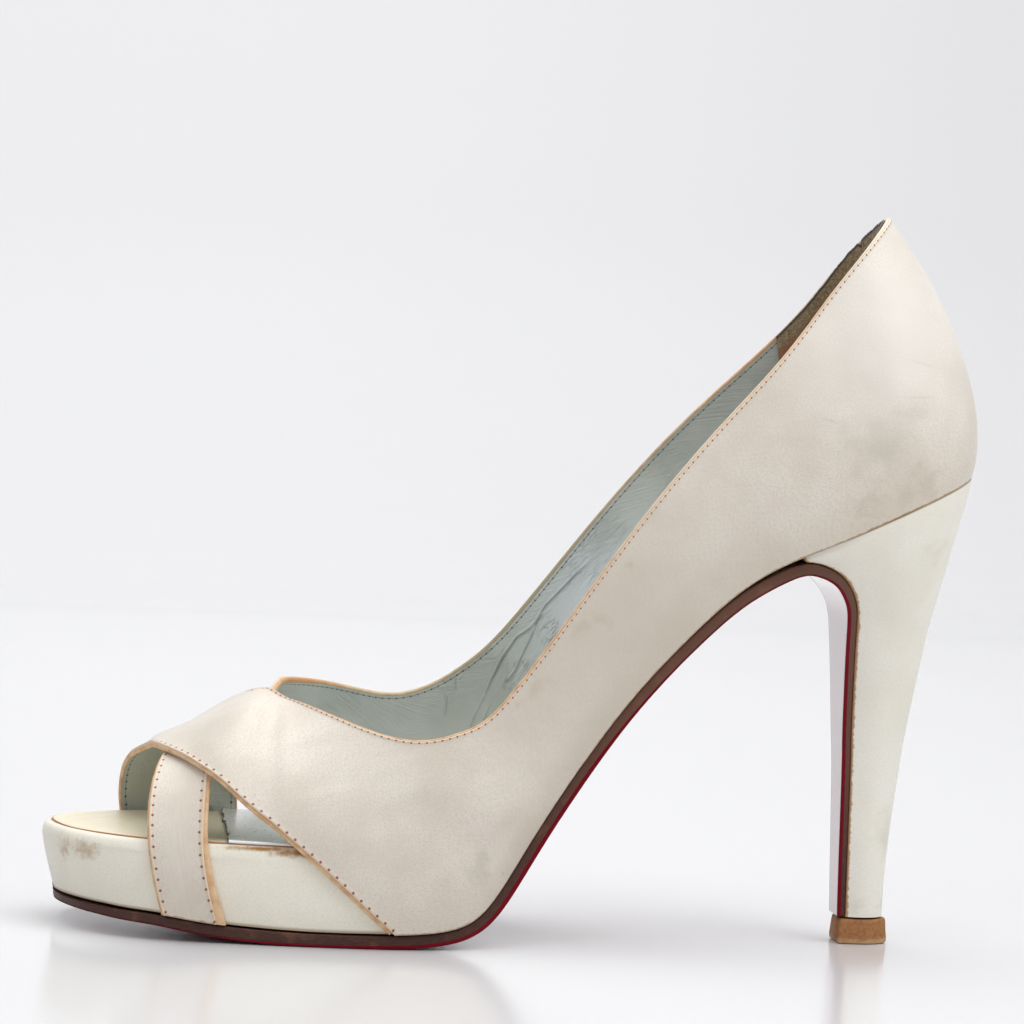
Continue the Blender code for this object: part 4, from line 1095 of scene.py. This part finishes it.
# The turned edge stands up a little, and the seam beside it is drawn in.
PUFF_HEIGHT, GROOVE_DEPTH, TURN_SHARE = 0.00028, 0.00012, 0.9
puff = PUFF_HEIGHT * np.exp(-((edge_away - 0.35) / 0.45) ** 2)
groove = GROOVE_DEPTH * np.exp(-((edge_away - 0.62) / 0.22) ** 2)
turned = SATIN_THICKNESS * TURN_SHARE * (1 - smooth(edge_away / 0.22))
height = puff - groove - turned - creased(satin_face, OUTER_WAVES)
satin_face = satin_face + satin_normal * height[..., None]
FRONT_TUCK, REAR_TUCK = (0.0011, 0.0005, 0.0002), (0.0002, 0.0005)
front_tuck = [satin_face[:, :1] - satin_normal[:, :1] * depth for depth in FRONT_TUCK]
rear_tuck = [satin_face[:, -1:] - satin_normal[:, -1:] * depth for depth in REAR_TUCK]
satin_face = np.concatenate(front_tuck + [satin_face] + rear_tuck, axis=1)


def widened(values):
    """A mark carried on over the tucked edges."""
    left, right = len(FRONT_TUCK), len(REAR_TUCK)
    return np.concatenate([values[:, :1]] * left + [values] + [values[:, -1:]] * right, axis=1)


rear_mark[..., 0] -= rear_line[:, None]
front_mark[..., 0] -= STITCH_IN
loops, ups = strip_lines(across)
to_feather = np.linalg.norm(on_last(loops, ups) - feather_line(loops) - LAST_MIDDLE, axis=-1) * 1000
marks = {
    "cloth_mm": measured(satin_face),
    "rear": widened(rear_mark),
    "front": widened(front_mark),
    "from_feather": widened(to_feather),
}


def off_edge(tree, label):
    """How far past the stitch line a point lies, in mm: less than nothing toward the edge."""
    return add(tree, "SeparateXYZ", Vector=marks_of(tree, label))


# A needle hole's radius as a share of its stitch's length, and the sewn line's half width in mm.
HOLE_SHARE = 0.17
SEWN_HALF = 0.2


def stitches(tree):
    """Shares of needle holes and of the sewn lines along both edges."""
    both_holes, both_sewn = [], []
    for label in ("rear", "front"):
        off, count, length = add(tree, "SeparateXYZ", Vector=marks_of(tree, label)).node.outputs
        phase = math_of(tree, "SUBTRACT", math_of(tree, "FRACT", count), 0.5)
        along = math_of(tree, "MULTIPLY", phase, length)
        squares = math_of(tree, "ADD", math_of(tree, "MULTIPLY", along, along),
                          math_of(tree, "MULTIPLY", off, off))
        share = math_of(tree, "DIVIDE", math_of(tree, "SQRT", squares), length)
        both_holes.append(ranged(tree, share, HOLE_SHARE, HOLE_SHARE * 0.4))
        both_sewn.append(ranged(tree, math_of(tree, "ABSOLUTE", off), SEWN_HALF, SEWN_HALF * 0.4))
    return math_of(tree, "MAXIMUM", *both_holes), math_of(tree, "MAXIMUM", *both_sewn)


upper_satin, tree, shader, colour, relief = satin(
    "upper_satin", (233, 225, 213), (220, 210, 197), 0.6, 0.00004,
    Roughness=0.46, Sheen_Weight=0.35, Sheen_Roughness=0.35, Specular_IOR_Level=0.4)
holes, sewn = stitches(tree)
smudges = spots(tree, (
    ((-10.3, -37, 20.3), (7.5, 9, 3.4), 0.8, 0.3, 78),
    ((-4.6, -34, 18.1), (0.7, 8, 0.7), 0.3, 1.0),
    ((-69.2, -22, 45.0), (0.8, 8, 0.6), 0.3, 1.0),
    ((91.5, -20, 141.2), (7.5, 5, 0.5), 0.4, 0.5, -13),
    ((90.9, -22, 133.0), (7.0, 5, 0.6), 0.4, 0.5, 2),
    ((70.0, -25, 126.7), (3.0, 5, 0.6), 0.4, 0.8, -14),
    ((80.8, -26, 121.2), (11, 10, 8), 1.2, 0.2, 20),
    ((89.5, -23.7, 129.9), (6, 8, 2.6), 1.0, 0.35, 10),
    ((92.6, -23.9, 112.3), (7, 8, 6), 1.1, 0.3, 35),
    ((79.7, -26.2, 107.2), (6, 8, 3.5), 1.1, 0.35, 20),
))
colour = tinted(tree, colour, smudges, 0.26, (160, 154, 130))
browned = spots(tree, (
    ((1.1, -32, 61.2), (5.2, 8, 2.2), 0.9, 0.45, 40),
    ((-2.6, -33, 57.6), (3.4, 8, 1.4), 0.9, 0.45, 40),
    ((11.7, -31, 76.0), (3.6, 8, 2.2), 1.0, 0.45, 50),
    ((16.0, -30.8, 78.0), (4.4, 8, 2.0), 1.0, 0.45, -20),
    ((22.6, -30, 91.1), (1.6, 8, 1.2), 0.8, 0.8),
))
colour = tinted(tree, colour, browned, 0.32, (166, 132, 98))
# Painted highlight: a lighter patch high on the counter, where the satin's sheen catches the overhead
# light.
painted_counter_highlight = spot(tree, (86, -20, 150), (36, 30, 34), 0.3, 0.05)
colour = tinted(tree, colour, painted_counter_highlight, 0.6, (240, 237, 231))
# Painted shade: the outer waist darker, where the flared wall faces down away from the overhead lamp.
painted_waist_shade = spot(tree, (22, -30, 72), (60, 40, 46), 0.3, 0.05)
colour = tinted(tree, colour, painted_waist_shade, 0.6, (206, 196, 182))
# Painted shade: the upper darker and browner towards the feather line, within 14 mm of it.
low = ranged(tree, value_of(tree, "from_feather"), 14.0, 0.0)
colour = tinted(tree, colour, low, 0.2, (200, 186, 160))
uneven = cloud(tree, place(tree), 0.8, 3.0)
hem = ranged(tree, math_of(tree, "ADD", value_of(tree, "from_feather"), uneven), 1.05, 0.6)
colour = tinted(tree, colour, hem, 0.7, (150, 112, 70))
rear_edging = ranged(tree, off_edge(tree, "rear"), 0.1, -0.35)
front_edging = ranged(tree, off_edge(tree, "front"), 0.1, -0.5)
edging = math_of(tree, "MAXIMUM", rear_edging, front_edging)
colour = tinted(tree, colour, edging, 0.5, (226, 200, 172))
colour = tinted(tree, colour, sewn, 0.5, (216, 186, 158))
colour = dyed(tree, holes, colour, paint(142, 76, 54))
tree.links.new(colour, shader.inputs["Base Color"])
bumped(tree, shader, math_of(tree, "SUBTRACT", 1.0, holes), 0.0001, 0.7, over=relief)
stands_for(skin("upper_satin", satin_face, marks, upper_satin), "upper")

# The binding: a narrow tan tape folded over the wall, from under the satin to the lining. Each
# pair: distance from the edge as a share of what shows, and depth below the satin in mm.
TAPE_FACE = ((1.65, 0.42), (1.2, 0.40), (1.02, 0.28), (0.78, 0.20), (0.44, 0.22), (0.17, 0.32), (0.0, 0.55))
TAPE_BACK = ((0.0, 0.85), (0.15, 1.10), (0.4, 1.26), (0.75, 1.34), (1.0, 1.37), (1.2, 1.30), (1.35, 1.10))
tan, tree, shader = finish("tan_binding", Roughness=0.55, Specular_IOR_Level=0.35)
where = place(tree)
tone = cloud(tree, where, 0.35, 4.0)
colour = dyed(tree, ranged(tree, tone, 0.35, 0.68), paint(226, 192, 152), paint(204, 160, 118))
orange = spots(tree, (
    ((-48, 14, 59), (18, 18, 8), 0.4, 0.1),
    ((60, 24, 142), (16, 12, 20), 0.4, 0.1),
))
colour = tinted(tree, colour, orange, 0.6, (206, 142, 82))
creamy = spot(tree, (50, -34, 118), (84, 34, 62), 0.2, 0.1)
colour = tinted(tree, colour, creamy, 0.85, (224, 212, 194))
soiled = spot(tree, (8, 28, 78), (70, 50, 70), 0.2, 0.2)
colour = tinted(tree, colour, soiled, 0.9, (164, 156, 128))
height = add(tree, "SeparateXYZ", Vector=where).node.outputs[2]
colour = dyed(tree, ranged(tree, height, 150.0, 166.0), colour, paint(226, 214, 192))
tree.links.new(colour, shader.inputs["Base Color"])
bumped(tree, shader, cloud(tree, where, 2.5, 3.0), 0.00006, 0.5)


# Columns of the trial face that are searched for the tape's reach.
TAPE_SEARCH = 16


def bind(name, lines, rear, show):
    """Tape along an edge: its section follows the edge, square to it, on the last's surface."""
    columns = np.linspace(0, 1, TRIAL_STEPS + 1)[:TAPE_SEARCH]
    faces, backs = np.array(TAPE_FACE), np.array(TAPE_BACK)
    depths = np.concatenate([faces[:, 1], backs[:, 1]])
    face_reach = faces[:, 0] * show[lines][:, None]
    back_reach = backs[:, 0] * inside_show[lines][:, None]
    reach = np.concatenate([face_reach, back_reach], axis=1)
    mark = (all_rear if rear else all_front)[lines]
    column = np.empty(reach.shape)
    for i in range(len(lines)):
        distance = mark[i, ::-1, 0] if rear else mark[i, :, 0]
        rising = np.maximum.accumulate(distance[:TAPE_SEARCH]) + np.arange(TAPE_SEARCH) * 1e-6
        column[i] = np.interp(reach[i], rising, columns)
    whole = np.zeros((LINES, column.shape[1]))
    whole[lines] = 1 - column if rear else column
    points, normals = draped(*strip_lines(whole))
    points = points[lines] - normals[lines] * (depths / 1000)[None, :, None]
    tape = skin(name, points, {"tape_mm": measured(points)}, tan, around=True)
    stands_for(tape, "upper")


all_rear, all_front = edge_marks(face)
bind("topline_binding", every_line, True, rear_show)
bind("outer_panel_binding", every_line[:STRAP_LINES], False, front_show)
bind("inner_panel_binding", every_line[-STRAP_LINES:], False, front_show)

# The lining: thin grey-green kid, wrinkled inside the waist where the foot has pressed it.
LINING_STITCH_IN, LINING_COLLAR_IN = 1.6, 1.3
UNDER_TAPE = 0.05
lining_in = (1 - (1 - np.linspace(0, 1, 84)) ** 1.7)[None, 1:-1]
lining_front = np.where(bound, share_at(all_front, inside_show + UNDER_TAPE, True), 0.0)
lining_rear = 1 - share_at(all_rear, inside_show + UNDER_TAPE, False)
spread = spread_out(edge_in[:, ::2], lining_in)
across = lining_front[:, None] + (lining_rear - lining_front)[:, None] * spread
lining, lining_normal = draped(*strip_lines(across))
rear_mark, front_mark = edge_marks(lining)
lining_line = LINING_STITCH_IN + (LINING_COLLAR_IN - LINING_STITCH_IN) * fade_in + inside_show - INSIDE_SHOW
rear_mark[..., 0] -= lining_line[:, None]
front_mark[..., 0] -= LINING_STITCH_IN
folds = creased(lining, LINING_CREASES)
lining = lining - lining_normal * (WALL + folds)[..., None]
kid_lining, tree, shader = finish("grey_green_kid", Roughness=0.42, Specular_IOR_Level=0.5)
where = place(tree)
grain = cloud(tree, marks_of(tree, "cloth_mm", (0.35, 1.4, 1)), 1.0, 5.0, 0.6)
tone = ranged(tree, cloud(tree, where, 0.05, 3.0), 0.35, 0.65)
colour = dyed(tree, tone, paint(200, 205, 197), paint(186, 192, 183))
yellowed = spot(tree, (-75, 30, 38), (20, 22, 24), 0.4, 0.1)
colour = tinted(tree, colour, yellowed, 0.6, (168, 162, 128))
low_waist = 1000 * on_last(LOOP_ROWS - 14.3, 0.6)
rubbed = spot(tree, low_waist, (30, 16, 20), 0.2, 0.1, 50)
colour = tinted(tree, colour, rubbed, 0.8, (216, 224, 228))
holes, sewn = stitches(tree)
colour = tinted(tree, colour, sewn, 0.55, (112, 108, 88))
colour = dyed(tree, holes, colour, paint(66, 54, 40))
fine = cloud(tree, marks_of(tree, "cloth_mm", (0.22, 0.85, 1)), 1.0, 3.0, 0.5, 0.5)
split = math_of(tree, "ABSOLUTE", math_of(tree, "SUBTRACT", fine, 0.5))
some = ranged(tree, cloud(tree, where, 0.07, 2.0), 0.40, 0.58)
mid_waist = 1000 * on_last(LOOP_ROWS - 13.0, 0.72)
pressed = math_of(tree, "MULTIPLY", spot(tree, mid_waist, (34, 20, 30), 0.5, 0.1), 0.75)
some = math_of(tree, "MULTIPLY", some, math_of(tree, "ADD", pressed, 0.25))
wrinkle = math_of(tree, "MULTIPLY", ranged(tree, split, 0.035, 0.0), some)
gathers = cloud(tree, marks_of(tree, "cloth_mm", (1.1, 0.12, 1)), 1.0, 3.0)
gathered = math_of(tree, "MULTIPLY", gathers, ranged(tree, off_edge(tree, "rear"), 9.0, 1.0))
# Painted shade: the wrinkle lines darkened in the colour as well as bumped.
colour = tinted(tree, colour, wrinkle, 0.4, (118, 124, 118))
# Painted shade in the deeper folds of the lining, by their depth.
painted_fold_shade = ranged(tree, value_of(tree, "fold"), 0.06, 0.32)
colour = tinted(tree, colour, painted_fold_shade, 0.6, (92, 98, 92))
tree.links.new(colour, shader.inputs["Base Color"])
relief = bumped(tree, None, grain, 0.0003, 0.6)
relief = bumped(tree, None, gathered, 0.0007, 0.6, over=relief)
bumped(tree, shader, math_of(tree, "SUBTRACT", 1.0, wrinkle), 0.0004, 0.7, over=relief)
lining_marks = {"cloth_mm": measured(lining), "rear": rear_mark, "front": front_mark, "fold": folds * 1000}
stands_for(skin("upper_lining", lining, lining_marks, kid_lining, flip=True), "upper")

# THE HEEL GRIP
# A patch of brown suede pasted inside the collar's back, so that the heel holds its foot.
# Its upper edge is worn ragged.
GRIP_START, GRIP_STEPS = 17.45, 240
NICK_LOOP, NICK_WIDTH, NICK_DEPTH = 22.3, 0.05, 0.012
GRIP_FOOT, GRIP_TOP, GRIP_FRAY, GRIP_COLUMNS = 0.30, 1.003, 0.0045, 50
# Above this share up the last the suede stands free and goes straight on from the slope below it.
FREE_FROM, FREE_SIZE, SLOPE_FROM = 0.998, 0.055, 0.97
GRIP_THICKNESS, GRIP_TUCK = 0.0006, 0.0005
t = np.linspace(0, 1, GRIP_STEPS)[:, None]
loops = GRIP_START + t * (LOOP_ROWS - 2 * GRIP_START)
frayed = []
for v in loops[:, 0] * 6:
    frayed.append(noise.noise((0.9 * v, 7.1, 0)) + 0.9 * noise.noise((5.3 * v, 2.0, 0)))
nick = NICK_DEPTH * np.exp(-((loops - NICK_LOOP) / NICK_WIDTH) ** 2)
top = GRIP_TOP + GRIP_FRAY * np.array(frayed)[:, None] - nick
ups = GRIP_FOOT + (top - GRIP_FOOT) * np.linspace(0, 1, GRIP_COLUMNS)[None, :]
over = np.maximum(ups - FREE_FROM, 0)
grip = on_last(loops + 0 * ups, np.minimum(ups, FREE_FROM))
grip_normal = last_normal(loops + 0 * ups, np.minimum(ups, FREE_FROM))
rise = unit(on_last(loops, FREE_FROM + 0 * loops) - on_last(loops, SLOPE_FROM + 0 * loops))
grip = grip + rise * (over * FREE_SIZE)[..., None] - grip_normal * (WALL + GRIP_THICKNESS)
foot_tuck = grip[:, :1] + grip_normal[:, :1] * GRIP_TUCK
top_tuck = grip[:, -1:] + grip_normal[:, -1:] * GRIP_TUCK
grip = np.concatenate([foot_tuck, grip, top_tuck], axis=1)
suede, tree, shader = finish("brown_suede", Roughness=0.9, Sheen_Weight=0.5, Sheen_Roughness=0.6,
                             Specular_IOR_Level=0.15)
where = place(tree)
nap = cloud(tree, where, 1.6, 6.0, 0.7)
colour = dyed(tree, ranged(tree, nap, 0.35, 0.65), paint(190, 168, 128), paint(124, 102, 72))
below = math_of(tree, "ADD", value_of(tree, "from_top"), math_of(tree, "MULTIPLY", nap, 1.6))
colour = dyed(tree, ranged(tree, below, 1.6, 1.1), colour, paint(64, 58, 52))
colour = dyed(tree, ranged(tree, below, 3.6, 6.0), colour, paint(158, 108, 74))
tree.links.new(colour, shader.inputs["Base Color"])
bumped(tree, shader, nap, 0.0004, 0.8)
from_top = measured(grip)[..., 1]
from_top = from_top[:, -2:-1] - from_top
stands_for(skin("heel_grip", grip, {"from_top": from_top}, suede, flip=True), "upper")

# THE TABLE AND THE LIGHT
# The shoe stands on a pale glossy board that sweeps up behind it, under large soft lamps.
board, tree, shader = finish("pale_board", Roughness=0.16, Specular_IOR_Level=0.35)
sweep = cloud(tree, place(tree, 0.001), 3.0, 2.0)
tree.links.new(dyed(tree, sweep, paint(221, 221, 223), paint(223, 223, 225)), shader.inputs["Base Color"])
# The board lies this far below the shoe's rest, so that no foot shares its face.
BOARD_DROP = 0.0001
FLOOR_FRONT, FLOOR_BACK, SWEEP_RADIUS, WALL_TOP, HALF_ROOM = -1.4, 1.1, 0.7, 2.4, 2.6
profile = [(y, 0.0) for y in np.linspace(FLOOR_FRONT, FLOOR_BACK, 12)]
for a in np.linspace(0.1, math.pi / 2, 14):
    profile.append((FLOOR_BACK + SWEEP_RADIUS * math.sin(a), SWEEP_RADIUS * (1 - math.cos(a))))
wall_back = FLOOR_BACK + SWEEP_RADIUS
profile += [(wall_back, 2 * SWEEP_RADIUS), (wall_back, WALL_TOP)]
sweep_points = []
for x in np.linspace(-HALF_ROOM, HALF_ROOM, 5):
    sweep_points.append([(x, y, z - BOARD_DROP) for y, z in profile])
sweep_points = np.array(sweep_points)
backdrop = skin("pale_sweep", sweep_points, {}, board)


def lamp(name, at, toward, size, power):
    light = bpy.data.lights.new(name, "AREA")
    light.shape = "RECTANGLE"
    light.size, light.size_y = size
    light.energy = power
    made = bpy.data.objects.new(name, light)
    made.location = at
    made.rotation_euler = (Vector(toward) - Vector(at)).to_track_quat("-Z", "Y").to_euler()
    bpy.context.scene.collection.objects.link(made)


lamp("overhead_lamp", (0.1, 0.1, 1.3), (0, 0, 0.05), (1.6, 1.2), 17.5)
lamp("front_lamp", (-0.8, -0.9, 1.0), (0, 0, 0.05), (0.8, 0.8), 3.0)
lamp("right_lamp", (0.5, -0.45, 0.7), (0.07, 0, 0.1), (0.5, 0.5), 2.6)
lamp("backdrop_lamp", (0, 0.8, 1.4), (0, 1.8, 0.9), (1.6, 0.5), 12.9)
bpy.context.scene.view_settings.view_transform = "Standard"
AIR_LIGHT = 0.32
world = bpy.data.worlds.new("studio_air")
bpy.context.scene.world = world
world.use_nodes = True
air = world.node_tree.nodes["Background"]
air.inputs["Color"].default_value = (1, 1, 1, 1)
air.inputs["Strength"].default_value = AIR_LIGHT

# The camera stands 1.2 m away, a little ahead of square to the outer side.
YAW, PITCH, ROLL = (math.radians(a) for a in (7.0, 2.6, 2.5))
DISTANCE, PIXEL, FRAME_PIXELS, SENSOR = 1.2, 0.00024, 1024, 36.0
TARGET = Vector((-0.0020, 0.00054, 0.1011))
back = Vector((-math.sin(YAW) * math.cos(PITCH), -math.cos(YAW) * math.cos(PITCH), math.sin(PITCH)))
right = Vector((0, 0, 1)).cross(back).normalized()
above = back.cross(right)
level = math.cos(ROLL) * right + math.sin(ROLL) * above
upward = math.cos(ROLL) * above - math.sin(ROLL) * right
camera = bpy.data.objects.new("camera", bpy.data.cameras.new("camera"))
camera.data.sensor_width = SENSOR
camera.data.lens = SENSOR * DISTANCE / (PIXEL * FRAME_PIXELS)
camera.data.clip_end = 20
turn = Matrix((level, upward, back)).transposed().to_4x4()
camera.matrix_world = Matrix.Translation(TARGET + back * DISTANCE) @ turn
bpy.context.scene.collection.objects.link(camera)
bpy.context.scene.camera = camera
